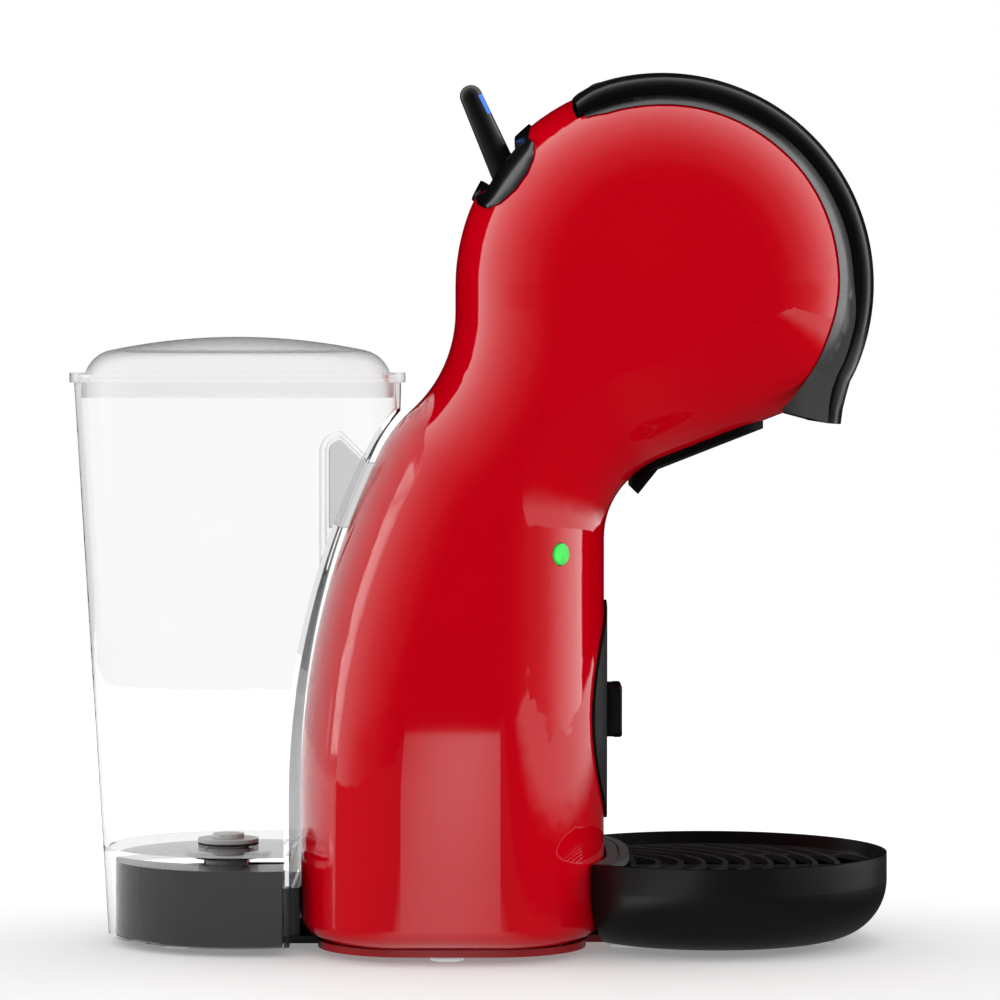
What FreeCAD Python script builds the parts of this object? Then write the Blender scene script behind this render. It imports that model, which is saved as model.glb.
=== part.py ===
import FreeCAD, Part
import Sketcher
import math
import os

# Pod coffee machine: +X is the front, +Z is up, the origin is the bottom centre. Millimetres.

doc = FreeCAD.newDocument("pod_coffee_machine")
sizes = doc.addObject("Spreadsheet::Sheet", "Sizes")
workings = doc.addObject("Spreadsheet::Sheet", "Workings")

DIMENSIONS = [
    # fits
    ("seat_gap", 0.1),
    ("running_gap", 0.05),
    ("slide_gap", 0.4),
    # housing, side profile
    ("housing_bottom", 4.5),
    ("housing_wall", 2.5),
    ("half_width", 66),
    ("side_round", 34),
    ("side_crown", 54),
    ("bottom_round", 7),
    ("column_back", -58.4),
    ("column_front", 41.1),
    ("back_straight_top", 50),
    ("back_arc", 255),
    ("shoulder_arc", 46),
    ("nape_arc", 43),
    ("nape_top", 208),
    ("head_back", -7.6),
    ("head_z", 216.5),
    ("head_radius", 67.2),
    ("head_x", "=head_back + head_radius"),
    ("nose_arc", 40),
    ("neck_arc", 26),
    ("underside_x", 72.2),
    ("underside_z", 164.2),
    ("underside_angle", 21.4),
    ("front_cut_depth", 7.7),
    ("front_cut_radius", "=head_radius - front_cut_depth"),
    ("front_cut_low_angle", 60),
    ("floor_opening_inset", 14),
    ("floor_opening_half", 46),
    # base plate and feet
    ("base_bottom", 2),
    ("base_inset", 6.2),
    ("base_half", 57),
    ("base_corner", 30),
    ("base_upstand", 5),
    ("rear_tongue_end", -108),
    ("rear_tongue_half", 23),
    ("front_tongue_end", 56),
    ("front_tongue_half", 20),
    ("foot_radius", 5.3),
    ("foot_recess", 1),
    ("side_foot_x", -10),
    ("side_foot_y", 47),
    ("rear_foot_x", -98),
    ("rear_foot_y", 16),
    ("front_foot_x", 48),
    ("front_foot_y", 14),
    ("screw_radius", 1.4),
    ("screw_head_radius", 2.8),
    ("screw_head_height", 1.4),
    ("screw_length", 8),
    ("screw_gap", 0.2),
    ("screw_y", 15),
    ("screw_inset", 11),
    # tank, lid and plinth
    ("tank_bottom", 3),
    ("tank_floor", 30),
    ("tank_top", 184.8),
    ("tank_wall", 1.8),
    ("tank_floor_wall", 2),
    ("tank_gap", 2.5),
    ("tank_low_x", -76),
    ("tank_low_length", 46.6),
    ("tank_low_width", 43.5),
    ("tank_high_x", -79.6),
    ("tank_high_length", 53.9),
    ("tank_high_width", 48.5),
    ("doorway_half", 24.5),
    ("doorway_top", 21),
    ("pocket_back", -50.6),
    ("pocket_top", 167),
    ("pocket_half", 9),
    ("pocket_round", 5),
    ("pocket_slope_x", -38),
    ("pocket_slope_z", 159.5),
    ("hook_gap", 1.2),
    ("hook_bottom", 137),
    ("hook_half", 6),
    ("lid_length", 55.4),
    ("lid_flange", 3.2),
    ("lid_height", 15),
    ("lid_wall", 1.6),
    ("lid_crown_radius", 42),
    ("lid_crown_drop", 4.4),
    ("lid_edge_arc", 11),
    ("lid_rim_depth", 5),
    ("lid_rim_gap", 0.5),
    ("plinth_top", 27.5),
    ("plinth_wall", 2.5),
    ("plinth_gap", 0.6),
    ("plinth_neck_half", 22),
    ("plinth_neck_top", 20),
    # valve between tank and plinth
    ("valve_x", -83),
    ("valve_tube_radius", 6.9),
    ("valve_bore", 4),
    ("valve_flange", 10),
    ("valve_flange_height", 1.2),
    ("valve_drop", 4.5),
    ("gasket_height", 0.8),
    ("poppet_radius", 5.2),
    ("poppet_height", 1.5),
    ("poppet_stem", 1.5),
    ("seat_radius", 11.5),
    ("seat_flange", 14),
    ("seat_flange_height", 1),
    ("seat_bore", 8.5),
    ("seat_floor", 22),
    ("seat_depth", 20),
    ("pin_height", 2.8),
    ("pin_radius", 1.5),
    ("spigot_radius", 2.5),
    ("spigot_z", 15.5),
    ("spigot_reach", 11),
    ("ring_section", 0.7),
    # drip tray
    ("tray_x", 77),
    ("tray_radius", 58),
    ("tray_bottom", 2),
    ("tray_top", 30),
    ("tray_wall", 2.2),
    ("tray_round", 19),
    ("tray_gap", 1),
    ("tunnel_gap", 0.5),
    ("ledge_height", 2),
    ("ledge_reach", 7.5),
    ("ledge_groove", 0.6),
    ("ledge_groove_depth", 0.6),
    ("grid_z", 24),
    ("grid_height", 2),
    ("grid_wire", 1.8),
    ("grid_pitch", 7.4),
    ("grid_rings", 9),
    ("grid_center", 35),
    ("grid_first_ring", 24.6),
    ("grid_gap", 0.5),
    ("grid_leg", 2),
    ("grid_leg_ring", 30),
    ("tray_foot_x", 112),
    ("tray_foot_y", 7),
    # front plate and hook
    ("plate_z", 77),
    ("plate_half_height", 36),
    ("plate_half_width", 39),
    ("plate_thickness", 1.1),
    ("hook_z", 68.2),
    ("hook_height", 17.2),
    ("hook_stem_half", 7),
    ("hook_stem_reach", 2.2),
    ("hook_flange_half", 11),
    ("hook_flange_thickness", 2.8),
    ("hook_round", 2),
    ("hook_groove", 0.6),
    # underside cover
    ("cover_thickness", 2.4),
    ("cover_back", 50),
    ("cover_front", 93),
    ("cover_half", 27),
    ("cover_round", 12),
    ("lip_half", 20),
    ("lip_depth", 5),
    ("lip_tip", 2),
    ("lip_tip_depth", 7),
    ("lip_root", 9.6),
    ("outlet_radius", 13),
    # handle
    ("handle_proud", 3.3),
    ("handle_outer", "=head_radius + handle_proud"),
    ("handle_thickness", 7.3),
    ("handle_inner", "=handle_outer - handle_thickness"),
    ("handle_half", 45.8),
    ("handle_side_gap", 0.6),
    ("handle_edge_round", 4),
    ("hinge_depth", 6.2),
    ("hinge_radius", "=head_radius - hinge_depth"),
    ("hinge_angle", 108.5),
    ("hinge_pin_radius", 2),
    ("hinge_pin_cover", 4),
    ("hinge_eye_gap", 0.5),
    ("lug_inner", 20),
    ("lug_width", 10),
    ("lug_radius", 7.5),
    ("lug_web_angle", 88),
    ("tail_angle", 25.6),
    ("tail_arc", 32),
    ("tail_x", "=head_x + (handle_outer + tail_arc) * cos(tail_angle) - tail_arc"),
    ("tail_z", "=head_z - (handle_outer + tail_arc) * sin(tail_angle)"),
    ("tail_drop", 1.4),
    ("tail_bottom", "=tail_z - tail_drop"),
    ("tail_thickness", 4.64),
    ("tail_inner_x", "=tail_x - tail_thickness"),
    ("tail_heel", 1.7),
    ("tail_inner_z", "=tail_bottom + tail_heel"),
    ("tail_bend_reach", 1),
    ("tail_bend_x", "=tail_inner_x + tail_bend_reach"),
    ("tail_bend_height", 11.2),
    ("tail_bend_z", "=tail_bottom + tail_bend_height"),
    ("tail_inner_arc", 47),
    ("flare_angle", 12.4),
    ("cheek_depth", 7.2),
    ("cheek_inner", "=head_radius - cheek_depth"),
    ("cheek_thickness", 3.8),
    ("cheek_top_angle", 92),
    ("cheek_low_angle", 46.5),
    # capsule bay
    ("frame_depth", 8.2),
    ("frame_outer", "=head_radius - frame_depth"),
    ("frame_thickness", 4.5),
    ("frame_inner", "=frame_outer - frame_thickness"),
    ("frame_gap", 0.2),
    ("frame_top_angle", 100),
    ("frame_low_angle", 44),
    ("bay_half", 34),
    ("bay_bottom", 189.6),
    ("bay_top", 224.5),
    ("rail_inner", 27),
    ("rail_outer", 38),
    ("rail_height", 5),
    ("rail_behind", 28),
    ("rail_back", "=holder_x - rail_behind"),
    ("rail_ahead", 21.5),
    ("rail_front", "=holder_x + rail_ahead"),
    ("rail_arm_inner", 34.2),
    ("rail_arm_inset", 3.1),
    ("rail_arm_front", "=head_x + frame_outer - rail_arm_inset"),
    ("holder_reach", 18.4),
    ("holder_x", "=head_x + holder_reach"),
    ("holder_radius", 25),
    ("holder_wall", 2),
    ("holder_bottom", 184.6),
    ("holder_top", 222),
    ("holder_flange", 3),
    ("holder_half", 33),
    ("holder_depth", 26),
    ("holder_front", "=holder_x + holder_depth"),
    ("holder_front_wall", 4),
    ("holder_outlet", 8),
    ("grip_half", 14),
    ("grip_height", 16),
    ("grip_depth", 2),
    # injector
    ("injector_radius", 25),
    ("injector_bottom", 225),
    ("injector_plate", 5),
    ("injector_boss", 9),
    ("injector_boss_height", 4.5),
    ("stem_radius", 4),
    ("stem_rise", 2),
    ("stem_top", "=bridge_bottom + stem_rise"),
    ("seal_inner", 14),
    ("seal_outer", 18.5),
    ("needle_radius", 1.2),
    ("needle_length", 6.5),
    ("post_radius", 2.5),
    ("post_y", 21.5),
    ("post_bottom", 224),
    ("bridge_depth", 37.7),
    ("bridge_bottom", "=head_z + head_radius - bridge_depth"),
    ("bridge_height", 4),
    ("bridge_half", 12),
    ("bridge_back", "=holder_x - bridge_half"),
    ("bridge_front", "=holder_x + bridge_half"),
    ("gland_radius", 8),
    ("gland_lip", 1),
    ("gland_bottom", "=bridge_bottom - gland_lip"),
    ("gland_height", 10),
    ("gland_top", "=bridge_bottom + bridge_height + gland_height"),
    ("gland_neck", 6.5),
    ("gland_port_drop", 4),
    ("gland_port_z", "=gland_top - gland_port_drop"),
    ("gland_port_reach", 16),
    # lever, bezel and mixing valve
    ("bezel_angle", 142),
    ("bezel_half_length", 15.6),
    ("bezel_half_width", 46),
    ("bezel_proud", 1),
    ("bezel_depth", 5),
    ("bezel_gap", 0.15),
    ("channel_back", -9.3),
    ("channel_front", 4.3),
    ("channel_open", 9.5),
    ("channel_floor", -4),
    ("slot_half", 12),
    ("lever_ahead", 6.25432),
    ("lever_sunk", 13.77245),
    ("lever_x", "=head_x + head_radius * cos(bezel_angle) + lever_ahead"),
    ("lever_z", "=head_z + head_radius * sin(bezel_angle) - lever_sunk"),
    ("lever_lean", 23.8),
    ("lever_length", 38.3),
    ("lever_tip", 3.7),
    ("lever_root", 5),
    ("lever_hub", 5),
    ("lever_hub_back", -4),
    ("lever_hub_front", 5.5),
    ("mark_low", 30.5),
    ("mark_high", 37.5),
    ("mark_half", 3),
    ("mark_depth", 0.5),
    ("mark_split", 0.2),
    ("shaft_radius", 2.5),
    ("shaft_front", 20),
    ("mixer_back", 6),
    ("mixer_front", 22),
    ("mixer_radius", 11),
    ("pillar_radius", 2.5),
    ("pillar_x", 9),
    ("pillar_y", 6),
    ("pillar_top", 14.5),
    ("port_reach", 6),
    ("port_y", 6),
    ("cold_port_x", 11),
    ("hot_port_x", 18),
    # power button and board
    ("button_x", 26.3),
    ("button_z", 130.5),
    ("button_radius", 3.5),
    ("button_proud", 0.6),
    ("button_depth", 6),
    ("button_gap", 0.2),
    ("switch_side", 6),
    ("switch_height", 4.2),
    ("board_depth", 11.4),
    ("board_thickness", 1.6),
    ("board_length", 40),
    ("board_width", 16),
    ("boss_radius", 3),
    ("boss_spacing", 14),
    ("boss_root", 1.5),
    # pump, heater and chassis
    ("chassis_back", -34),
    ("chassis_front", 24),
    ("chassis_top", 128),
    ("chassis_wall", 3),
    ("chassis_foot_half", 20),
    ("chassis_foot", 2.5),
    ("arm_length", 16),
    ("pump_x", -12),
    ("pump_y", -27),
    ("pump_bottom", 20),
    ("pump_barrel", 9),
    ("pump_barrel_height", 22),
    ("pump_coil", 16.5),
    ("pump_coil_height", 44),
    ("pump_nozzle", 2.5),
    ("pump_nozzle_height", 10),
    ("pump_inlet_z", 25),
    ("pump_inlet_reach", 17),
    ("yoke_half", 12),
    ("yoke_wall", 2),
    ("mount_outer", 13),
    ("mount_height", 6),
    ("mount_inset", 10),
    ("heater_x", -10),
    ("heater_length", 48),
    ("heater_depth", 32),
    ("heater_stand", 10.5),
    ("heater_bottom", 50),
    ("heater_height", 68),
    ("heater_round", 5),
    ("heater_stub_reach", 10),
    ("heater_stub_spread", 16),
    ("thermostat_radius", 8),
    ("thermostat_height", 6),
    ("thermostat_z", 98),
    ("fuse_radius", 2.5),
    ("fuse_length", 16),
    ("fuse_z", 66),
    ("terminal_x", 2),
    ("terminal_y", 26),
    ("terminal_length", 22),
    ("terminal_width", 16),
    ("terminal_height", 15),
    ("cord_x", -10),
    ("cord_z", 24),
    ("cord_bore", 3.4),
    ("cord_tube", 6),
    ("cord_collar", 8.5),
    ("cord_collar_height", 2),
    ("hose_radius", 2.5),
    ("hose_bend_share", 0.3),
    ("port_run", 14),
    ("pump_run", 28),
    ("pump_route_x", 14),
    ("pump_route_y", -14),
    ("pump_route_z", 190),
    ("heater_run", 21),
    ("boiler_route_x", 10),
    ("boiler_route_y", 18),
    ("boiler_route_z", 180),
    ("hot_route_x", 34),
    ("hot_route_y", 17),
    ("hot_route_z", 192),
    ("inlet_run", 26),
    ("inlet_turn_x", -40),
    ("head_run_x", 54),
]

for row, (alias, number) in enumerate(DIMENSIONS, start=1):
    sizes.set("A%d" % row, alias)
    sizes.set("B%d" % row, str(number))
    sizes.setAlias("B%d" % row, alias)
doc.recompute()

nodes = []
SIDEWAYS = FreeCAD.Vector(0, 1, 0)
UP = FreeCAD.Vector(0, 0, 1)
FORWARD = FreeCAD.Vector(1, 0, 0)


def size(alias):
    return float(sizes.get(alias))


def linked(expression):
    """Expression with each alias written as a cell of the sheet."""
    words = ""
    name = ""
    for letter in expression + " ":
        if letter.isalpha() or letter == "_" or (name and letter.isdigit()):
            name += letter
            continue
        if name in aliases:
            name = "Sizes." + name
        words += name + letter
        name = ""
    return words.strip()


aliases = {alias for alias, number in DIMENSIONS}


def value(expression):
    workings.set("A1", "=" + linked(expression))
    workings.recompute()
    return float(workings.get("A1"))


def bind(item, prop, expression):
    item.setExpression(prop, linked(expression))


def keep(item, label):
    """Names a finished sub-part."""
    item.Label = label
    nodes.append(item)
    return item


def place(item, x="0", y="0", z="0", rotation=None):
    if rotation is not None:
        item.Placement = FreeCAD.Placement(FreeCAD.Vector(), rotation)
    for axis, expression in (("x", x), ("y", y), ("z", z)):
        bind(item, "Placement.Base." + axis, expression)
    return item


def box(length, width, height, x="0", y="0", z="0"):
    item = doc.addObject("Part::Box", "Block")
    bind(item, "Length", length)
    bind(item, "Width", width)
    bind(item, "Height", height)
    return place(item, x, y, z)


def cylinder(radius, height, x="0", y="0", z="0", axis=UP):
    item = doc.addObject("Part::Cylinder", "Round")
    bind(item, "Radius", radius)
    bind(item, "Height", height)
    return place(item, x, y, z, FreeCAD.Rotation(UP, axis))


def cut(base, tool):
    item = doc.addObject("Part::Cut", "Cut")
    item.Base = base
    item.Tool = tool
    return item


def common(base, tool):
    item = doc.addObject("Part::Common", "Common")
    item.Base = base
    item.Tool = tool
    return item


def fuse(*pieces):
    item = doc.addObject("Part::MultiFuse", "Fusion")
    item.Shapes = list(pieces)
    item.Refine = True
    return item


def moulded(shape, name="Moulding"):
    """A free-form piece whose shape is worked out from the sheet."""
    item = doc.addObject("Part::Feature", name)
    item.Shape = shape
    return item


def new_body(name):
    return doc.addObject("PartDesign::Body", name)


def origin_plane(body, role):
    return next(item for item in body.Origin.OriginFeatures if item.Role == role)


def draw(body, role, corners, offset="0"):
    """Closed outline on an origin plane; a corner is x, y and the signed radius of the arc after it."""
    sketch = body.newObject("Sketcher::SketchObject", "Outline")
    sketch.AttachmentSupport = (origin_plane(body, role), [""])
    sketch.MapMode = "FlatFace"
    bind(sketch, "AttachmentOffset.Base.z", offset)
    points = [FreeCAD.Vector(value(x), value(y), 0) for x, y, bend in corners]
    ends = []
    for index, (x, y, bend) in enumerate(corners):
        start = points[index]
        end = points[(index + 1) % len(points)]
        if bend is None:
            sketch.addGeometry(Part.LineSegment(start, end), False)
            ends.append((1, 2))
            continue
        radius = value(bend)
        turn = 1 if radius > 0 else -1
        chord = end - start
        rise = math.sqrt(radius ** 2 - chord.Length ** 2 / 4)
        left = FreeCAD.Vector(-chord.y, chord.x, 0).normalize()
        center = (start + end) * 0.5 + left * (turn * rise)
        first, last = (start, end) if turn > 0 else (end, start)
        angles = [math.atan2(point.y - center.y, point.x - center.x) for point in (first, last)]
        circle = Part.Circle(center, UP, abs(radius))
        sketch.addGeometry(Part.ArcOfCircle(circle, angles[0], angles[1]), False)
        ends.append((1, 2) if turn > 0 else (2, 1))
    for index, (x, y, bend) in enumerate(corners):
        after = (index + 1) % len(points)
        sketch.addConstraint(Sketcher.Constraint("Coincident", index, ends[index][1], after, ends[after][0]))
        start = points[index]
        for kind, at, expression in (("DistanceX", start.x, x), ("DistanceY", start.y, y)):
            number = sketch.addConstraint(Sketcher.Constraint(kind, -1, 1, index, ends[index][0], at))
            bind(sketch, "Constraints[%d]" % number, expression)
        if bend is not None:
            number = sketch.addConstraint(Sketcher.Constraint("Radius", index, abs(value(bend))))
            bind(sketch, "Constraints[%d]" % number, "abs(" + bend + ")")
    return sketch


def ring(body, role, radius, x="0", y="0", offset="0"):
    """Circle on an origin plane."""
    sketch = body.newObject("Sketcher::SketchObject", "Circle")
    sketch.AttachmentSupport = (origin_plane(body, role), [""])
    sketch.MapMode = "FlatFace"
    bind(sketch, "AttachmentOffset.Base.z", offset)
    center = FreeCAD.Vector(value(x), value(y), 0)
    sketch.addGeometry(Part.Circle(center, UP, value(radius)), False)
    for kind, at, expression in (("DistanceX", center.x, x), ("DistanceY", center.y, y)):
        number = sketch.addConstraint(Sketcher.Constraint(kind, -1, 1, 0, 3, at))
        bind(sketch, "Constraints[%d]" % number, expression)
    number = sketch.addConstraint(Sketcher.Constraint("Radius", 0, value(radius)))
    bind(sketch, "Constraints[%d]" % number, radius)
    return sketch


def pad(body, sketch, length, symmetric=False, reverse=False):
    feature = body.newObject("PartDesign::Pad", "Pad")
    feature.Profile = sketch
    bind(feature, "Length", length)
    if symmetric:
        feature.SideType = "Symmetric"
    feature.Reversed = reverse
    return feature


def pocket(body, sketch, length, symmetric=False, reverse=False):
    feature = body.newObject("PartDesign::Pocket", "Pocket")
    feature.Profile = sketch
    bind(feature, "Length", length)
    if symmetric:
        feature.SideType = "Symmetric"
    feature.Reversed = reverse
    return feature


def revolve(body, sketch):
    """Full turn about the sketch's vertical axis."""
    feature = body.newObject("PartDesign::Revolution", "Turned")
    feature.Profile = sketch
    feature.ReferenceAxis = (sketch, ["V_Axis"])
    feature.Angle = 360
    return feature


def turned(name, corners, x="0", y="0", z="0", rotation=None):
    """A turned piece; the corners give radius and height."""
    body = new_body(name)
    revolve(body, draw(body, "XZ_Plane", corners))
    return place(body, x, y, z, rotation)


def rounded(body, feature, radius, chosen):
    """Fillet on the edges that the chosen function picks."""
    doc.recompute()
    edges = ["Edge%d" % (index + 1) for index, edge in enumerate(feature.Shape.Edges) if chosen(edge)]
    fillet = body.newObject("PartDesign::Fillet", "Rounding")
    fillet.Base = (feature, edges)
    bind(fillet, "Radius", radius)
    return fillet


# Housing: side profile with tangent arcs, elliptic side edges, two halves

def vector(x, z):
    return FreeCAD.Vector(x, 0, z)


def circle_meet(center_a, radius_a, center_b, radius_b):
    """Lower point where two circles in the side view meet."""
    across = center_b - center_a
    along = (radius_a ** 2 - radius_b ** 2 + across.Length ** 2) / (2 * across.Length)
    rise = math.sqrt(radius_a ** 2 - along ** 2)
    unit = across * (1 / across.Length)
    foot = center_a + unit * along
    one = foot + vector(-unit.z, unit.x) * rise
    two = foot - vector(-unit.z, unit.x) * rise
    return one if one.z < two.z else two


def arc_between(start, center, end):
    """Short arc from start to end about a centre."""
    middle = (start - center) + (end - center)
    middle = center + middle * ((start - center).Length / middle.Length)
    return Part.Arc(start, middle, end).toShape()


def side_wire(inset):
    """Side profile of the housing, moved inwards by the inset."""
    bottom = size("housing_bottom") + inset
    back = size("column_back") + inset
    front = size("column_front") - inset
    head = vector(size("head_x"), size("head_z"))
    head_radius = size("head_radius") - inset
    back_center = vector(size("column_back") + size("back_arc"), size("back_straight_top"))
    nape_center = vector(size("head_x") - size("head_radius") - size("nape_arc"), size("nape_top"))
    shoulder_center = circle_meet(back_center, size("back_arc") - size("shoulder_arc"),
                                  nape_center, size("nape_arc") + size("shoulder_arc"))
    to_back = (shoulder_center - back_center).normalize()
    shoulder_low = back_center + to_back * (size("back_arc") - inset)
    to_nape = (shoulder_center - nape_center).normalize()
    shoulder_high = nape_center + to_nape * (size("nape_arc") + inset)
    nape_end = vector(nape_center.x + size("nape_arc") + inset, nape_center.z)
    head_back = vector(head.x - head_radius, head.z)

    angle = math.radians(size("underside_angle"))
    along = vector(math.cos(angle), math.sin(angle))
    upward = vector(-math.sin(angle), math.cos(angle))
    on_underside = vector(size("underside_x"), size("underside_z")) + upward * inset
    neck_radius = size("neck_arc") + inset
    neck_x = front + neck_radius
    neck_line = on_underside - upward * neck_radius
    neck_center = neck_line + along * ((neck_x - neck_line.x) / along.x)
    neck_start = vector(front, neck_center.z)
    neck_end = neck_center + upward * neck_radius
    nose_radius = size("nose_arc") - inset
    drop = (head - on_underside).dot(upward) - nose_radius
    reach = head_radius - nose_radius
    nose_center = head - upward * drop + along * math.sqrt(reach ** 2 - drop ** 2)
    nose_start = nose_center - upward * nose_radius
    nose_end = head + (nose_center - head).normalize() * head_radius

    low_front = vector(front, bottom)
    low_back = vector(back, bottom)
    straight_end = vector(back, size("back_straight_top"))
    edges = [
        Part.makeLine(low_back, low_front),
        Part.makeLine(low_front, neck_start),
        arc_between(neck_start, neck_center, neck_end),
        Part.makeLine(neck_end, nose_start),
        arc_between(nose_start, nose_center, nose_end),
        Part.Arc(nose_end, head + vector(0, head_radius), head_back).toShape(),
        Part.makeLine(head_back, nape_end),
        arc_between(nape_end, nape_center, shoulder_high),
        arc_between(shoulder_high, shoulder_center, shoulder_low),
        arc_between(shoulder_low, back_center, straight_end),
        Part.makeLine(straight_end, low_back),
    ]
    return Part.Wire(edges)


def side_prism(inset, half):
    """The side profile as a straight block, both ways from the middle."""
    face = Part.Face(side_wire(inset))
    face.translate(SIDEWAYS * -half)
    return face.extrude(SIDEWAYS * (2 * half))


def half_housing(inset):
    """Left half of the housing form, moved inwards by the inset."""
    stretch = size("side_crown") / size("side_round")
    depth = (size("half_width") - inset) / stretch
    block = Part.Face(side_wire(inset)).extrude(SIDEWAYS * -depth)
    bottom = size("housing_bottom") + inset

    def on_side(edge):
        return all(abs(vertex.Y + depth) < 0.001 for vertex in edge.Vertexes)

    def on_bottom(edge):
        return all(abs(vertex.Z - bottom) < 0.001 for vertex in edge.Vertexes)

    def on_middle(edge):
        return all(abs(vertex.Y) < 0.001 for vertex in edge.Vertexes)

    side_edges = [edge for edge in block.Edges if on_side(edge) and not on_bottom(edge)]
    block = block.makeFillet(size("side_round") - inset, side_edges)
    bottom_edges = [edge for edge in block.Edges if on_bottom(edge) and not on_middle(edge)]
    block = block.makeFillet(size("bottom_round") - inset, bottom_edges)
    widen = FreeCAD.Matrix()
    widen.scale(1, stretch, 1)
    return block.transformGeometry(widen)


def mirrored(shape):
    return shape.mirror(FreeCAD.Vector(), SIDEWAYS)


def housing(inset):
    half = half_housing(inset)
    return half.fuse(mirrored(half))


def column_plan(inset, low, high):
    """Straight block with the column's outline in plan."""
    stretch = size("side_crown") / size("side_round")
    back = size("column_back") + inset
    front = size("column_front") - inset
    depth = (size("half_width") - inset) / stretch
    block = Part.makeBox(front - back, 2 * depth, high - low, FreeCAD.Vector(back, -depth, low))
    upright = [edge for edge in block.Edges if abs(edge.tangentAt(edge.FirstParameter).z) > 0.9]
    block = block.makeFillet(size("side_round") - inset, upright)
    widen = FreeCAD.Matrix()
    widen.scale(1, stretch, 1)
    return block.transformGeometry(widen)


# Places that several pieces share

HINGE_X = "(head_x + hinge_radius * cos(hinge_angle))"
HINGE_Z = "(head_z + hinge_radius * sin(hinge_angle))"
EYE_RADIUS = "(handle_outer - hinge_radius)"
BASE_TOP = "(housing_bottom - seat_gap)"
DECK = "(housing_bottom + base_upstand)"

head_center = vector(size("head_x"), size("head_z"))
hinge = vector(value(HINGE_X), value(HINGE_Z))
far = 2 * size("half_width")


def head_point(radius, degrees):
    """Point in the side view at a radius and angle about the head's centre."""
    return head_center + vector(math.cos(math.radians(degrees)), math.sin(math.radians(degrees))) * radius


def across(wire, half):
    """A wire in the side view as a block, both ways from the middle."""
    face = Part.Face(wire)
    face.translate(SIDEWAYS * -half)
    return face.extrude(SIDEWAYS * (2 * half))


def polygon(points):
    return Part.makePolygon(list(points) + [points[0]])


def round_bar(radius, center, half):
    """Round bar along Y, both ways from the middle."""
    return Part.makeCylinder(radius, 2 * half, center - SIDEWAYS * half, SIDEWAYS)


def head_sector(inner, outer, top_degrees, low_degrees, half):
    """Ring sector about the head's centre, as a block."""
    middle = (top_degrees + low_degrees) / 2
    corners = [head_point(inner, top_degrees), head_point(outer, top_degrees),
               head_point(outer, low_degrees), head_point(inner, low_degrees)]
    wire = Part.Wire([
        Part.makeLine(corners[0], corners[1]),
        Part.Arc(corners[1], head_point(outer, middle), corners[2]).toShape(),
        Part.makeLine(corners[2], corners[3]),
        Part.Arc(corners[3], head_point(inner, middle), corners[0]).toShape(),
    ])
    return across(wire, half)


# The bezel's own frame: x along the spine, y sideways, z out of the head
bezel_turn = FreeCAD.Rotation(SIDEWAYS, 90 - size("bezel_angle"))
bezel_place = FreeCAD.Placement(head_point(size("head_radius"), size("bezel_angle")), bezel_turn)

# The lever's own frame: x along its tilt axis, z along the lever
lever_turn = FreeCAD.Rotation(SIDEWAYS, -size("lever_lean"))
lever_place = FreeCAD.Placement(vector(size("lever_x"), size("lever_z")), lever_turn)

# The button's own frame: z out of the column's surface, y up
BUTTON_Y = "(side_crown * (1 - sqrt(1 - (1 - (column_front - button_x) / side_round) ^ 2)) - half_width)"
button_bend = 1 - (size("column_front") - size("button_x")) / size("side_round")
button_rise = math.sqrt(1 - button_bend ** 2)
button_out = FreeCAD.Vector(button_bend / size("side_round"), -button_rise / size("side_crown"), 0)
button_out.normalize()
button_center = FreeCAD.Vector(size("button_x"), value(BUTTON_Y), size("button_z"))
button_turn = FreeCAD.Rotation(UP.cross(button_out), UP, button_out, "ZYX")
button_place = FreeCAD.Placement(button_center, button_turn)


def set_in(shape, placement):
    """A shape made in a local frame, moved to its place."""
    shape.Placement = placement.multiply(shape.Placement)
    return shape


def bezel_outline(grow):
    """Oval block through the head's spine."""
    width = size("bezel_half_width") + grow
    length = size("bezel_half_length") + grow
    face = Part.Face(Part.Wire(Part.Ellipse(FreeCAD.Vector(), width, length).toShape()))
    face.rotate(FreeCAD.Vector(), UP, 90)
    depth = size("bezel_half_length")
    face.translate(UP * -depth)
    return set_in(face.extrude(UP * (depth + 2 * size("bezel_depth"))), bezel_place)


def screw_places():
    back = size("column_back") + size("screw_inset")
    front = size("column_front") - size("screw_inset")
    return [(x, side * size("screw_y")) for x in (back, front) for side in (-1, 1)]


def upright(radius, low, high, x, y=0):
    """Round bar along Z between two heights."""
    return Part.makeCylinder(radius, high - low, FreeCAD.Vector(x, y, low))


# Red half shells

def shell_openings():
    """What is cut from both halves of the housing."""
    inset = size("floor_opening_inset")
    half = size("floor_opening_half")
    length = size("column_front") - size("column_back") - 2 * inset
    corner = FreeCAD.Vector(size("column_back") + inset, -half, 0)
    hose_start = FreeCAD.Vector(size("column_back") - size("screw_inset"), 0, size("spigot_z"))
    tools = [
        head_sector(size("front_cut_radius"), 2 * size("head_radius"), size("hinge_angle"),
                    -size("front_cut_low_angle"), far),
        round_bar(value(EYE_RADIUS) + size("hinge_eye_gap"), hinge,
                  size("handle_half") + size("handle_side_gap")),
        bezel_outline(size("bezel_gap")),
        Part.makeBox(length, 2 * half, value(DECK), corner),
        upright(size("outlet_radius"), size("underside_z") - size("outlet_radius"), size("bay_bottom"),
                size("holder_x")),
        Part.makeCylinder(size("hose_radius") + size("slide_gap"), 2 * size("screw_inset"), hose_start,
                          FORWARD),
    ]
    for x, y in screw_places():
        tools.append(upright(size("screw_radius") + size("screw_gap"), 0, value(DECK), x, y))
    return tools


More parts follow.
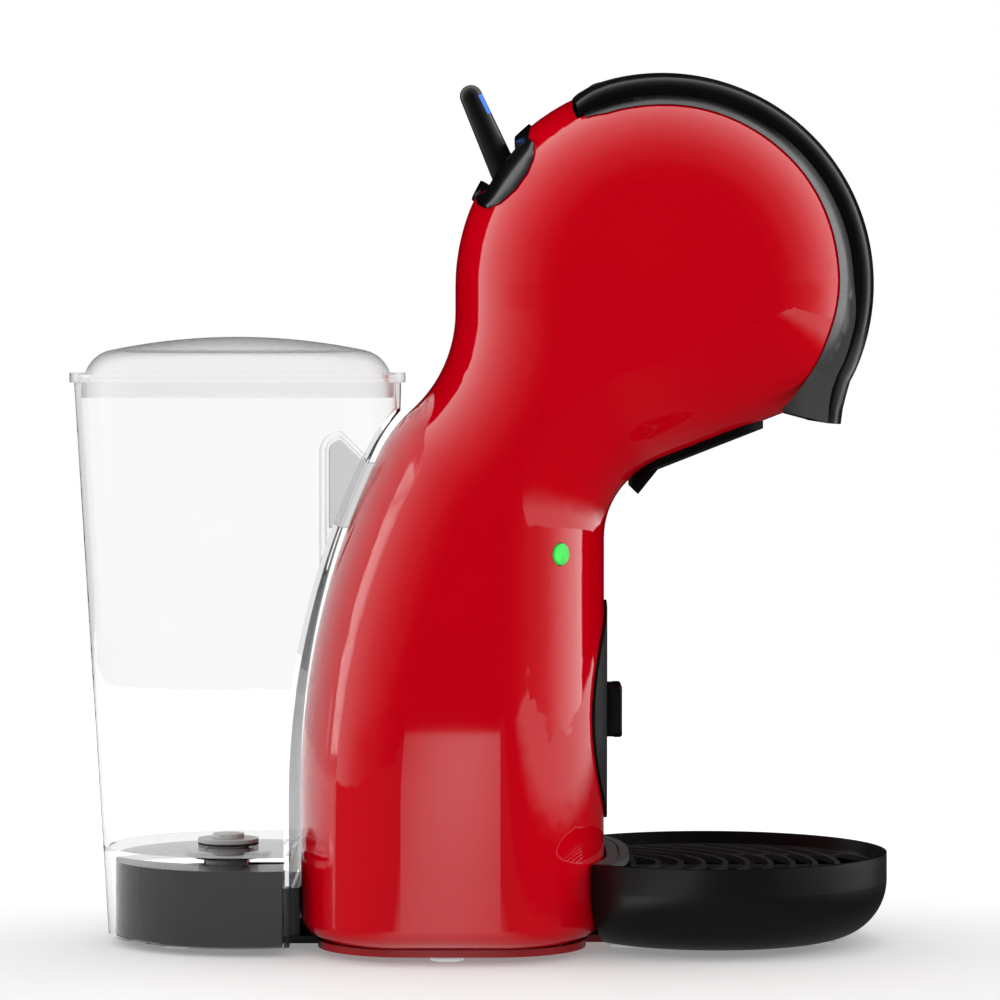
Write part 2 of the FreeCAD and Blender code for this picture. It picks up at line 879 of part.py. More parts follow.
def shells():
    wall = size("housing_wall")
    left = half_housing(0).cut(half_housing(wall)).cut(shell_openings())
    right = mirrored(left)
    bosses = []
    for side in (-1, 1):
        length = size("board_depth") - size("boss_root")
        boss = Part.makeCylinder(size("boss_radius"), length,
                                 FreeCAD.Vector(0, side * size("boss_spacing"), -size("board_depth")))
        bosses.append(set_in(boss, button_place))
    hole = Part.makeCylinder(size("button_radius") + size("button_gap"), size("button_depth"),
                             FreeCAD.Vector(0, 0, size("button_proud") - size("button_depth")))
    left = left.fuse(bosses).cut(set_in(hole, button_place))
    gland_hole = Part.makeCylinder(size("cord_tube") + size("seat_gap"), far,
                                   FreeCAD.Vector(size("cord_x"), 0, size("cord_z")), SIDEWAYS)
    right = right.cut(gland_hole)
    keep(moulded(left, "LeftHalf"), "left_shell")
    keep(moulded(right, "RightHalf"), "right_shell")


shells()


# Trim that follows the housing's surface

def front_plate():
    """Oval plate on the front of the column."""
    ellipse = Part.Ellipse(FreeCAD.Vector(), size("plate_half_width"), size("plate_half_height"))
    face = Part.Face(Part.Wire(ellipse.toShape()))
    face.Placement = FreeCAD.Placement(FreeCAD.Vector(size("column_front") - size("side_round") / 2, 0,
                                                      size("plate_z")),
                                       FreeCAD.Rotation(SIDEWAYS, FreeCAD.Vector(0, 0, 1), FORWARD, "ZXY"))
    block = face.extrude(FORWARD * size("side_round"))
    plate = block.common(housing(-size("plate_thickness"))).cut(housing(-size("seat_gap")))
    keep(moulded(plate, "FrontPlate"), "front_plate")


def underside_cover():
    """Thin black cover under the head with the coffee outlet and a drip lip at its back."""
    back = size("cover_back")
    front = size("cover_front")
    half = size("cover_half")
    low = size("underside_z") - 4 * size("lip_depth")
    block = Part.makeBox(front - back, 2 * half, 8 * size("lip_depth"), FreeCAD.Vector(back, -half, low))
    corners = [edge for edge in block.Edges if abs(edge.tangentAt(edge.FirstParameter).z) > 0.9]
    block = block.makeFillet(size("cover_round"), corners)
    inner = housing(-size("seat_gap"))
    plate = block.common(housing(-size("cover_thickness")))
    angle = math.radians(size("underside_angle"))
    root_z = size("underside_z") + (back - size("underside_x")) * math.tan(angle)
    lip = across(polygon([
        vector(back, root_z - size("lip_depth")),
        vector(back + size("lip_tip"), root_z - size("lip_tip_depth")),
        vector(back + size("lip_root"), root_z + size("lip_depth") / 2),
        vector(back, root_z + size("lip_depth") / 2),
    ]), size("lip_half"))
    outlet = upright(size("outlet_radius"), low, size("bay_bottom"), size("holder_x"))
    cover = plate.fuse(lip).cut(inner).cut(outlet)
    keep(moulded(cover, "UndersideCover"), "underside_cover")


def lever_bezel():
    """Saddle round the lever: a channel across the spine between two raised ends."""
    form = bezel_outline(0).common(housing(-size("bezel_proud"))).cut(housing(size("bezel_depth")))
    floor = size("channel_floor")
    rise = 2 * size("bezel_depth")
    slope = size("channel_open") - size("channel_front")
    channel = across(polygon([
        vector(size("channel_back"), floor),
        vector(size("channel_front"), floor),
        vector(size("channel_front") + slope * 2, floor + rise),
        vector(size("channel_back"), floor + rise),
    ]), far)
    length = size("channel_front") - size("channel_back")
    slot = Part.makeBox(length, 2 * size("slot_half"), 4 * rise,
                        FreeCAD.Vector(size("channel_back"), -size("slot_half"), -2 * rise))
    form = form.cut([set_in(channel, bezel_place), set_in(slot, bezel_place)])
    pillars = []
    drum_level = math.sqrt(size("mixer_radius") ** 2 - (size("pillar_y") - size("pillar_radius")) ** 2)
    pillar_low = drum_level + size("seat_gap")
    for side in (-1, 1):
        pillar = Part.makeCylinder(size("pillar_radius"), size("pillar_top") - pillar_low,
                                   FreeCAD.Vector(size("pillar_x"), side * size("pillar_y"), pillar_low))
        pillars.append(set_in(pillar, lever_place))
    form = form.fuse(pillars)
    keep(moulded(form, "LeverBezel"), "lever_bezel")


front_plate()
underside_cover()
lever_bezel()


# Base plate with its two tongues, feet and screws

def rectangle(x_low, x_high, half, corner=None):
    """Outline in plan that is symmetric about the middle, with square or round corners."""
    if corner is None:
        return [(x_low, "-(%s)" % half, None), (x_high, "-(%s)" % half, None),
                (x_high, half, None), (x_low, half, None)]
    inner_low = "%s + %s" % (x_low, corner)
    inner_high = "%s - %s" % (x_high, corner)
    inner_half = "%s - %s" % (half, corner)
    return [
        (inner_low, "-(%s)" % half, None), (inner_high, "-(%s)" % half, corner),
        (x_high, "-(%s)" % inner_half, None), (x_high, inner_half, corner),
        (inner_high, half, None), (inner_low, half, corner),
        (x_low, inner_half, None), (x_low, "-(%s)" % inner_half, corner),
    ]


def group(pieces, label):
    item = doc.addObject("Part::Compound", "Group")
    item.Links = pieces
    return keep(item, label)


FOOT_PLACES = [(end + "_foot_x", end + "_foot_y") for end in ("side", "rear", "front")]


def base():
    plate = new_body("BasePlate")
    thickness = BASE_TOP + " - base_bottom"
    low = "column_back + base_inset"
    high = "column_front - base_inset"
    outlines = [
        rectangle(low, high, "base_half", "base_corner"),
        rectangle("rear_tongue_end", low + " + base_corner", "rear_tongue_half"),
        rectangle(high + " - base_corner", "front_tongue_end", "front_tongue_half"),
    ]
    for outline in outlines:
        pad(plate, draw(plate, "XY_Plane", outline, "base_bottom"), thickness)
    island_inset = "floor_opening_inset + seat_gap"
    island = rectangle("column_back + " + island_inset, "column_front - (%s)" % island_inset,
                       "floor_opening_half - seat_gap")
    pad(plate, draw(plate, "XY_Plane", island, "base_bottom"), DECK + " - base_bottom")
    feet = []
    holes = []
    for x, y in FOOT_PLACES:
        for side in ("", "-"):
            feet.append(cylinder("foot_radius", "base_bottom + foot_recess", x, side + y))
            holes.append(cylinder("foot_radius + seat_gap", "base_bottom + foot_recess", x, side + y))
    screws = []
    for x in ("column_back + screw_inset", "column_front - screw_inset"):
        for side in ("", "-"):
            y = side + "screw_y"
            head_top = "base_bottom + screw_head_height"
            head = cylinder("screw_head_radius", "screw_head_height", x, y, "base_bottom")
            shank = cylinder("screw_radius", "screw_length", x, y, head_top)
            screws.append(fuse(head, shank))
            holes.append(cylinder("screw_head_radius + screw_gap", "screw_head_height", x, y, "base_bottom"))
            holes.append(cylinder("screw_radius + screw_gap", "screw_length", x, y, "base_bottom"))
    keep(cut(plate, fuse(*holes)), "base_plate")
    group(feet, "base_feet")
    group(screws, "shell_screws")


base()


# Water tank: tapered oval whose front wall follows the housing's spine

def tank_form(inset, low, high, taper=1):
    """Oval block between two heights, moved inwards by the inset; no taper keeps the lowest outline."""
    wires = []

    def between(word, share):
        return (1 - share) * size("tank_low_" + word) + share * size("tank_high_" + word)

    for height in (low, high):
        share = taper * (height - size("tank_bottom")) / (size("tank_top") - size("tank_bottom"))
        x, length, width = [between(word, share) for word in ("x", "length", "width")]
        ellipse = Part.Ellipse(FreeCAD.Vector(x, 0, height), length - inset, width - inset)
        wires.append(Part.Wire(ellipse.toShape()))
    return Part.makeLoft(wires, True, True)


def pocket_block(grow, low, half):
    """Block that fills the niche in the tank's front wall."""
    radius = size("pocket_round") + grow
    center = vector(size("pocket_back") + size("pocket_round"), size("pocket_top") - size("pocket_round"))
    lean = math.sqrt(0.5)
    start = center + vector(-radius, 0)
    top = center + vector(0, radius)
    slope = vector(size("pocket_slope_x"), size("pocket_slope_z") + grow)
    inside = vector(0, slope.z)
    foot = vector(0, low)
    heel = vector(start.x, low)
    wire = Part.Wire([
        Part.Arc(start, center + vector(-lean, lean) * radius, top).toShape(),
        Part.makeLine(top, slope),
        Part.makeLine(slope, inside),
        Part.makeLine(inside, foot),
        Part.makeLine(foot, heel),
        Part.makeLine(heel, start),
    ])
    return across(wire, half)


def tank():
    wall = size("tank_wall")
    gap = size("tank_gap")
    bottom = size("tank_bottom")
    floor = size("tank_floor")
    top = size("tank_top")
    water_floor = floor + size("tank_floor_wall")
    niche_low = size("back_straight_top")
    niche_half = size("pocket_half")
    front = side_prism(-gap, far)
    front_inner = side_prism(-gap - wall, far)
    outer = tank_form(0, bottom, top).cut([front, pocket_block(0, niche_low, niche_half)])
    water = tank_form(wall, water_floor, top + wall)
    water = water.cut([front_inner, pocket_block(wall, niche_low, niche_half + wall)])
    skirt = tank_form(wall, bottom - wall, floor).cut(front_inner)
    half = size("doorway_half")
    doorway = Part.makeBox(far, 2 * half, size("doorway_top"), FreeCAD.Vector(size("valve_x"), -half, 0))
    hole = upright(size("valve_tube_radius") + size("seat_gap"), floor - wall, water_floor + wall,
                   size("valve_x"))
    keep(moulded(outer.cut([water, skirt, doorway, hole]), "Tank"), "tank")


def tank_hook():
    """Lug on the housing's spine that sits in the tank's niche."""
    lug = pocket_block(-size("hook_gap"), size("hook_bottom"), size("hook_half"))
    keep(moulded(lug.cut(housing(-size("seat_gap"))), "TankHook"), "tank_hook")


def plinth():
    """Hollow straight block that the tank's skirt slips over, with a neck to the column."""
    wall = size("plinth_wall")
    inset = size("tank_wall") + size("plinth_gap")
    front = size("tank_gap") + inset
    bottom = size("tank_bottom")
    top = size("plinth_top")
    block = tank_form(inset, bottom, top, 0).cut(side_prism(-front, far))
    hollow = tank_form(inset + wall, bottom - wall, top - wall, 0).cut(side_prism(-front - wall, far))
    base_top = value(BASE_TOP) + size("seat_gap")
    neck_back = size("column_back") - front - wall / 2
    half = size("plinth_neck_half")
    neck = Part.makeBox(size("column_back") - size("seat_gap") - neck_back, 2 * half,
                        size("plinth_neck_top") - base_top, FreeCAD.Vector(neck_back, -half, base_top))
    notch_half = size("rear_tongue_half") + size("seat_gap")
    notch = Part.makeBox(2 * front + wall, 2 * notch_half, base_top,
                         FreeCAD.Vector(neck_back - front, -notch_half, 0))
    hose = Part.makeCylinder(size("hose_radius") + size("slide_gap"), 4 * front,
                             FreeCAD.Vector(neck_back - 2 * front, 0, size("spigot_z")), FORWARD)
    seat = upright(size("seat_radius") + size("seat_gap"), 0, top + wall, size("valve_x"))
    keep(moulded(block.cut(hollow).cut(notch).fuse(neck).cut([hose, seat]), "Plinth"), "tank_plinth")


def lid():
    """Shallow dome with a flange and a rim that drops into the tank."""
    crown = size("lid_crown_radius")
    drop = size("lid_crown_drop")
    arc = size("lid_edge_arc")
    wall = size("lid_wall")
    height = size("lid_height")
    flange = size("lid_flange")
    crown_arc = (crown ** 2 + drop ** 2) / (2 * drop)
    lean = math.asin(crown / crown_arc)
    edge_center = vector(crown - arc * math.sin(lean), height - drop - arc * math.cos(lean))
    crown_center = vector(0, height - crown_arc)
    rim = size("tank_high_length") - size("tank_wall") - size("lid_rim_gap")

    def dome(inset, level):
        """Top, shoulder and end of the dome, moved inwards by the inset, down to a level."""
        radius = arc - inset
        top = vector(0, height - inset)
        shoulder = crown_center + vector(math.sin(lean), math.cos(lean)) * (crown_arc - inset)
        rise = level - edge_center.z
        end = edge_center + vector(math.sqrt(radius ** 2 - rise ** 2), rise)
        return [arc_between(top, crown_center, shoulder), arc_between(shoulder, edge_center, end)], top, end

    outer, outer_top, outer_end = dome(0, flange)
    inner, inner_top, inner_end = dome(wall, 0)
    corners = [
        outer_end,
        vector(size("lid_length"), flange),
        vector(size("lid_length"), 0),
        vector(rim, 0),
        vector(rim, -size("lid_rim_depth")),
        vector(rim - wall, -size("lid_rim_depth")),
        vector(rim - wall, 0),
        inner_end,
    ]
    edges = outer + [Part.makeLine(a, b) for a, b in zip(corners, corners[1:])]
    edges += inner[::-1] + [Part.makeLine(inner_top, outer_top)]
    wire = Part.Wire(Part.__sortEdges__(edges))
    form = Part.Face(wire).revolve(FreeCAD.Vector(), UP, 360)
    narrow = FreeCAD.Matrix()
    rim_width = size("tank_high_width") - size("tank_wall") - size("lid_rim_gap")
    narrow.scale(1, rim_width / rim, 1)
    form = form.transformGeometry(narrow)
    item = moulded(form, "Lid")
    keep(place(item, "tank_high_x", "0", "tank_top + seat_gap"), "tank_lid")


tank()
tank_hook()
plinth()
lid()


# Valve in the tank floor and its seat in the plinth

def valve():
    tube_low = "tank_floor - valve_drop"
    gasket_low = "tank_floor + tank_floor_wall"
    flange_low = gasket_low + " + gasket_height"
    flange_top = flange_low + " + valve_flange_height"
    disc_low = flange_top + " + seat_gap"
    body = turned("ValveBody", [
        ("valve_bore", tube_low, None), ("valve_tube_radius", tube_low, None),
        ("valve_tube_radius", flange_low, None), ("valve_flange", flange_low, None),
        ("valve_flange", flange_top, None), ("valve_bore", flange_top, None),
    ], "valve_x")
    keep(body, "valve_body")
    gasket = turned("Gasket", [
        ("valve_tube_radius + seat_gap", gasket_low, None), ("valve_flange", gasket_low, None),
        ("valve_flange", flange_low, None), ("valve_tube_radius + seat_gap", flange_low, None),
    ], "valve_x")
    keep(gasket, "valve_seal")
    stem_low = "seat_floor + pin_height + seat_gap"
    poppet = turned("Poppet", [
        ("0", stem_low, None), ("poppet_stem", stem_low, None), ("poppet_stem", disc_low, None),
        ("poppet_radius", disc_low, None), ("poppet_radius", disc_low + " + poppet_height", None),
        ("0", disc_low + " + poppet_height", None),
    ], "valve_x")
    keep(poppet, "valve_poppet")
    flange = "plinth_top + seat_flange_height"
    neck_low = "spigot_z - 2 * spigot_radius"
    cup = turned("InletSeat", [
        ("0", neck_low, None), ("2 * spigot_radius", neck_low, None),
        ("2 * spigot_radius", "seat_depth", None), ("seat_radius", "seat_depth", None),
        ("seat_radius", "plinth_top", None),
        ("seat_flange", "plinth_top", None), ("seat_flange", flange, None), ("seat_bore", flange, None),
        ("seat_bore", "seat_floor", None), ("pin_radius", "seat_floor", None),
        ("pin_radius", "seat_floor + pin_height", None), ("0", "seat_floor + pin_height", None),
    ], "valve_x")
    spigot = cylinder("spigot_radius", "spigot_reach", "valve_x", "0", "spigot_z", FORWARD)
    keep(fuse(cup, spigot), "inlet_seat")
    seal = doc.addObject("Part::Torus", "SealRing")
    bind(seal, "Radius1", "(seat_bore + valve_tube_radius) / 2")
    bind(seal, "Radius2", "ring_section")
    place(seal, "valve_x", "0", "plinth_top - 2 * ring_section")
    keep(seal, "inlet_seal")


valve()


# Drip tray, its rear ledge, grid and feet

def column_block(offset, low, high):
    return moulded(column_plan(-size("tray_gap") - offset, low, high), "ColumnBlock")


def drip_tray():
    low = "tray_bottom + tray_wall"
    inner = "tray_radius - tray_wall"
    above = "tray_top + tray_wall"
    ledge_low = size("tray_top") - size("ledge_height")
    outer = turned("TrayOuter", [
        ("0", "tray_bottom", None), ("tray_radius - tray_round", "tray_bottom", "tray_round"),
        ("tray_radius", "tray_bottom + tray_round", None), ("tray_radius", "tray_top", None),
        ("0", "tray_top", None),
    ], "tray_x")
    cavity = turned("TrayCavity", [
        ("0", low, None), ("tray_radius - tray_round", low, "tray_round - tray_wall"),
        (inner, "tray_bottom + tray_round", None), (inner, above, None), ("0", above, None),
    ], "tray_x")
    tunnel_end = "front_tongue_end + tunnel_gap"
    tunnel_half = "front_tongue_half + tunnel_gap"
    tunnel_top = BASE_TOP + " + tunnel_gap"
    tunnel = box(tunnel_end, "2 * (%s)" % tunnel_half, tunnel_top, "0", "-(%s)" % tunnel_half)
    hump = box(tunnel_end + " + tray_wall", "2 * (%s + tray_wall)" % tunnel_half, tunnel_top + " + tray_wall",
               "0", "-(%s + tray_wall)" % tunnel_half)
    high = size("tray_top") + size("tray_wall")
    rear_wall = column_block(size("tray_wall"), 0, high)
    cavity = cut(cavity, fuse(rear_wall, hump))
    shelf = common(column_block(size("ledge_reach"), ledge_low, high),
                   cylinder(inner + " - seat_gap", above, "tray_x"))
    tray = cut(outer, fuse(column_block(0, 0, high), tunnel))
    keep(cut(cut(tray, cavity), shelf), "drip_tray")
    reach = size("ledge_reach") - size("seat_gap")
    crescent = cut(column_block(reach, ledge_low, size("tray_top")), column_block(0, 0, high))
    groove_low = size("tray_top") - size("ledge_groove_depth")
    groove_out = column_block(reach / 2 + size("ledge_groove"), groove_low, high)
    groove = cut(groove_out, column_block(reach / 2, 0, high))
    crescent = cut(crescent, groove)
    keep(common(crescent, cylinder(inner + " - 2 * seat_gap", above, "tray_x")), "tray_ledge")
    feet = [cylinder("foot_radius", "tray_bottom", "tray_foot_x", side + "tray_foot_y") for side in ("", "-")]
    group(feet, "tray_feet")


def drip_grid():
    """Wires in arcs round the column, inside a flat rim, on four legs."""
    rim = "tray_radius - tray_wall - grid_gap"
    wires = []
    for index in range(int(size("grid_rings"))):
        middle = "(grid_first_ring + %d * grid_pitch)" % index
        wires.append(cut(cylinder(middle + " + grid_wire / 2", "grid_height", "grid_center", "0", "grid_z"),
                         cylinder(middle + " - grid_wire / 2", "grid_height", "grid_center", "0", "grid_z")))
    edge = cut(cylinder(rim, "grid_height", "tray_x", "0", "grid_z"),
               cylinder(rim + " - grid_wire", "grid_height", "tray_x", "0", "grid_z"))
    clear = size("ledge_reach") + size("grid_gap")
    high = size("grid_z") + size("grid_height")
    rear = column_block(clear + size("grid_wire"), size("grid_z"), high)
    spokes = [box("2 * tray_radius", "grid_wire", "grid_height / 2", "grid_center", y, "grid_z")
              for y in ("-grid_wire / 2", "-grid_leg_ring - grid_wire / 2", "grid_leg_ring - grid_wire / 2")]
    legs = []
    for x in ("tray_x - grid_leg_ring / 2", "tray_x + grid_leg_ring / 2"):
        for side in ("", "-"):
            legs.append(cylinder("grid_leg", "grid_z + grid_height / 2 - tray_bottom - tray_wall - seat_gap",
                                 x, side + "grid_leg_ring", "tray_bottom + tray_wall + seat_gap"))
    disc = cylinder(rim, "tray_top", "tray_x")
    web = common(fuse(*(wires + [edge, rear] + spokes)), disc)
    web = cut(web, column_block(clear, 0, 2 * high))
    keep(fuse(web, *legs), "drip_grid")


drip_tray()
drip_grid()


# Hook on the front plate

def tray_hook():
    face = "column_front + plate_thickness"
    hook = new_body("TrayHook")
    top = "hook_z + hook_height"
    stem = [("-hook_stem_half", "hook_z", None), ("hook_stem_half", "hook_z", None),
            ("hook_stem_half", top, None), ("-hook_stem_half", top, None)]
    pad(hook, draw(hook, "YZ_Plane", stem, face), "hook_stem_reach + hook_flange_thickness")
    inner = "hook_flange_half - hook_round"
    flange = [
        ("-(%s)" % inner, "hook_z", None), (inner, "hook_z", "hook_round"),
        ("hook_flange_half", "hook_z + hook_round", None),
        ("hook_flange_half", top + " - hook_round", "hook_round"),
        (inner, top, None), ("-(%s)" % inner, top, "hook_round"),
        ("-hook_flange_half", top + " - hook_round", None),
        ("-hook_flange_half", "hook_z + hook_round", "hook_round"),
    ]
    plate = pad(hook, draw(hook, "YZ_Plane", flange, face + " + hook_stem_reach"), "hook_flange_thickness")
    front = value(face + " + hook_stem_reach + hook_flange_thickness")

    def on_front(edge):
        return all(abs(vertex.X - front) < 0.001 for vertex in edge.Vertexes)

    rounded(hook, plate, "hook_round / 2", on_front)
    grooves = [box("hook_stem_reach", "2 * hook_stem_half", "hook_groove", face, "-hook_stem_half",
                   "hook_z + hook_height / 2 + %d * hook_groove" % step) for step in (-2, 1)]
    core = box("hook_stem_reach", "2 * hook_stem_half - 4 * hook_groove", "hook_height", face,
               "-hook_stem_half + 2 * hook_groove", "hook_z")
    keep(cut(hook, cut(fuse(*grooves), core)), "tray_hook")


tray_hook()


# Handle with its two cheeks and hinge pin

EYE_FAR_SIDE = "(hinge_angle + 150)"
EYE_MEET = ("(hinge_angle * 1 deg - acos((handle_inner ^ 2 + hinge_radius ^ 2 - %s ^ 2)"
            " / (2 * handle_inner * hinge_radius)))" % EYE_RADIUS)


def head_at(radius, angle):
    """Expressions for a place in the side view at a radius and angle about the head's centre."""
    return "head_x + (%s) * cos(%s)" % (radius, angle), "head_z + (%s) * sin(%s)" % (radius, angle)


def hinge_bar(radius, length, y):
    """Round bar along Y on the hinge axis."""
    return cylinder(radius, length, HINGE_X, y, HINGE_Z, SIDEWAYS)


def handle():
    band = new_body("Handle")
    eye_x = HINGE_X + " + %s * cos(%s)" % (EYE_RADIUS, EYE_FAR_SIDE)
    eye_z = HINGE_Z + " + %s * sin(%s)" % (EYE_RADIUS, EYE_FAR_SIDE)
    outline = draw(band, "XZ_Plane", [
        head_at("handle_outer", "hinge_angle") + ("-handle_outer",),
        head_at("handle_outer", "-tail_angle") + ("tail_arc",),
        ("tail_x", "tail_z", None),
        ("tail_x", "tail_bottom", None),
        ("tail_inner_x", "tail_bottom", None),
        ("tail_inner_x", "tail_inner_z", "-tail_inner_arc"),
        ("tail_bend_x", "tail_bend_z", None),
        head_at("handle_inner", "-flare_angle") + ("handle_inner",),
        head_at("handle_inner", EYE_MEET) + ("-" + EYE_RADIUS,),
        (eye_x, eye_z, "-" + EYE_RADIUS),
    ])
    block = pad(band, outline, "2 * handle_half", symmetric=True)
    half = size("handle_half")
    bends = (size("handle_outer"), size("tail_arc"))

    def on_outer_edge(edge):
        beside = all(abs(abs(vertex.Y) - half) < 0.001 for vertex in edge.Vertexes)
        radius = getattr(edge.Curve, "Radius", 0)
        return beside and any(abs(radius - bend) < 0.001 for bend in bends)

    rounded(band, block, "handle_edge_round", on_outer_edge)
    slots = [hinge_bar(EYE_RADIUS + " + seat_gap", "lug_width + 2 * slide_gap", y)
             for y in ("lug_inner - slide_gap", "-lug_inner - lug_width - slide_gap")]
    reach = "(handle_half - hinge_pin_cover)"
    bore = hinge_bar("hinge_pin_radius + running_gap", "2 * (%s + running_gap)" % reach,
                     "-%s - running_gap" % reach)
    keep(cut(band, fuse(bore, *slots)), "handle")
    keep(hinge_bar("hinge_pin_radius", "2 * " + reach, "-" + reach), "hinge_pin")


def handle_cheeks():
    """Flat plates that close the sides between handle and housing."""
    rim = "handle_inner - seat_gap"
    plates = []
    for offset in ("handle_half - cheek_thickness", "-handle_half"):
        plate = new_body("Cheek")
        outline = draw(plate, "XZ_Plane", [
            head_at("cheek_inner", "cheek_top_angle") + (None,),
            head_at(rim, "cheek_top_angle") + ("-(%s)" % rim,),
            head_at(rim, "-flare_angle") + (None,),
            ("tail_bend_x - seat_gap", "tail_bend_z", "tail_inner_arc"),
            ("tail_inner_x - seat_gap", "tail_inner_z", None),
            ("tail_inner_x - seat_gap", "tail_bottom", None),
            head_at("cheek_inner", "-cheek_low_angle") + ("cheek_inner",),
        ], offset)
        pad(plate, outline, "cheek_thickness")
        plates.append(plate)
    group(plates, "handle_cheeks")


handle()
handle_cheeks()


# Front frame of the capsule bay, with hinge lugs and rails

def both_sides(shape):
    return [shape, mirrored(shape)]


def front_frame():
    inner = size("frame_inner")
    outer = size("frame_outer")
    form = head_sector(inner, outer, size("frame_top_angle"), -size("frame_low_angle"), far)
    bay_low = size("underside_z")
    bay = Part.makeBox(far, 2 * size("bay_half"), size("bay_top") - bay_low,
                       FreeCAD.Vector(size("head_x"), -size("bay_half"), bay_low))
    eye = round_bar(value(EYE_RADIUS) + size("hinge_eye_gap"), hinge, far)
    form = form.cut([bay, eye])
    width = size("lug_width")
    start = SIDEWAYS * size("lug_inner")
    lug = Part.makeCylinder(size("lug_radius"), width, hinge + start, SIDEWAYS)
    web = polygon([
        hinge + vector(0, size("hinge_pin_radius")),
        head_point(outer, size("lug_web_angle")),
        head_point(inner, size("lug_web_angle")),
        hinge - vector(0, size("lug_radius")),
    ])
    web = Part.Face(web)
    web.translate(start)
    lug = lug.fuse(web.extrude(SIDEWAYS * width))
    lug = lug.cut(round_bar(size("hinge_pin_radius") + size("running_gap"), hinge, far))
    rail_low = size("holder_top") - size("holder_flange") - size("slide_gap") - size("rail_height")
    back = size("rail_back")

    def bar(front, inside):
        return Part.makeBox(front - back, size("rail_outer") - inside, size("rail_height"),
                            FreeCAD.Vector(back, inside, rail_low))

    arm = bar(size("rail_arm_front"), size("rail_arm_inner"))
    rail = bar(size("rail_front"), size("rail_inner")).fuse(arm)
    form = form.fuse(both_sides(lug) + both_sides(rail))
    room = housing(size("housing_wall") + size("frame_gap")).fuse(both_sides(lug))
    keep(moulded(form.common(room).removeSplitter(), "FrontFrame"), "front_frame")


def capsule_holder():
    back = "rail_back + slide_gap"
    wall = "holder_front - holder_front_wall"
    low = "bay_bottom + slide_gap"
    flange = box("%s - (%s)" % (wall, back), "2 * holder_half", "holder_flange", back, "-holder_half",
                 "holder_top - holder_flange")
    cup = cylinder("holder_radius", "holder_top - holder_bottom", "holder_x", "0", "holder_bottom")
    front = box("holder_front_wall", "2 * holder_half", "bay_top - bay_bottom - 2 * slide_gap", wall,
                "-holder_half", low)
    room = cylinder("holder_radius - holder_wall", "holder_top - holder_bottom", "holder_x", "0",
                    "holder_bottom + holder_wall")
    outlet = cylinder("holder_outlet", "holder_top - holder_bottom", "holder_x", "0", "holder_bottom")
    grip = box("grip_depth", "2 * grip_half", "grip_height", "holder_front - grip_depth", "-grip_half",
               "(bay_bottom + bay_top - grip_height) / 2")
    keep(cut(fuse(flange, cup, front), fuse(room, outlet, grip)), "capsule_holder")


front_frame()
capsule_holder()


# Injector on its two posts, and the bridge that carries them

POST_SIDES = ("post_y", "-post_y")


def injector():
    plate_top = "injector_bottom + injector_plate"
    boss_top = plate_top + " + injector_boss_height"
    carriage = turned("Injector", [
        ("needle_radius + running_gap", "injector_bottom", None),
        ("injector_radius", "injector_bottom", None),
        ("injector_radius", plate_top, None), ("injector_boss", plate_top, None),
        ("injector_boss", boss_top, None), ("stem_radius", boss_top, None),
        ("stem_radius", "stem_top", None), ("needle_radius + running_gap", "stem_top", None),
    ], "holder_x")
    guides = [cylinder("post_radius + running_gap", "injector_plate", "holder_x", y, "injector_bottom")
              for y in POST_SIDES]
    keep(cut(carriage, fuse(*guides)), "injector")
    seal_low = "holder_top + slide_gap"
    seal = turned("InjectorSeal", [
        ("seal_inner", seal_low, None), ("seal_outer", seal_low, None),
        ("seal_outer", "injector_bottom", None), ("seal_inner", "injector_bottom", None),
    ], "holder_x")
    keep(seal, "injector_seal")
    tip = "injector_bottom - needle_length"
    needle = turned("Needle", [
        ("0", tip, None), ("needle_radius", tip + " + 2 * needle_radius", None),
        ("needle_radius", boss_top, None), ("0", boss_top, None),
    ], "holder_x")
    keep(needle, "needle")


def injector_bridge():
    """Cross bar between the shells, with the posts and the gland round the injector's stem."""
    length = size("bridge_front") - size("bridge_back")
    low = size("bridge_bottom")
    bar = Part.makeBox(length, 2 * far, size("bridge_height"), FreeCAD.Vector(size("bridge_back"), -far, low))
    bar = bar.common(housing(size("housing_wall") + size("frame_gap")))
    high = low + size("bridge_height")
    tools = [upright(size("gland_neck") + size("seat_gap"), low, high, size("holder_x"))]
    tools += [upright(size("post_radius") + size("running_gap"), low, high, size("holder_x"), value(y))
              for y in POST_SIDES]
    keep(moulded(bar.cut(tools), "InjectorBridge"), "injector_bridge")
    bridge_top = "bridge_bottom + bridge_height"
    posts = [cylinder("post_radius", bridge_top + " - post_bottom", "holder_x", y, "post_bottom")
             for y in POST_SIDES]
    group(posts, "guide_posts")
    gland = turned("FeedGland", [
        ("0", "gland_bottom", None), ("gland_neck", "gland_bottom", None), ("gland_neck", bridge_top, None),
        ("gland_radius", bridge_top, None), ("gland_radius", "gland_top", None), ("0", "gland_top", None),
    ], "holder_x")
    port = cylinder("hose_radius", "gland_port_reach", "holder_x - gland_port_reach", "0", "gland_port_z",
                    FORWARD)
    bore = cylinder("stem_radius + running_gap", "gland_port_z + hose_radius - gland_bottom", "holder_x", "0",
                    "gland_bottom")
    keep(cut(fuse(gland, port), bore), "feed_gland")


injector()
injector_bridge()


# Hot and cold lever, its two marks, shaft and mixing valve

def tilted(item):
    """Puts a piece made in the lever's own frame in its place."""
    item.Placement = lever_place.multiply(item.Placement)
    return item


def lever_stick(name, thinner):
    """The tapered stick with its round tip, made thinner all round."""
    root = "lever_root - (%s)" % thinner
    tip = "lever_tip - (%s)" % thinner
    return turned(name, [
        ("0", "0", None), (root, "0", None), (tip, "lever_length", tip), ("0", "lever_length + " + tip, None),
    ])


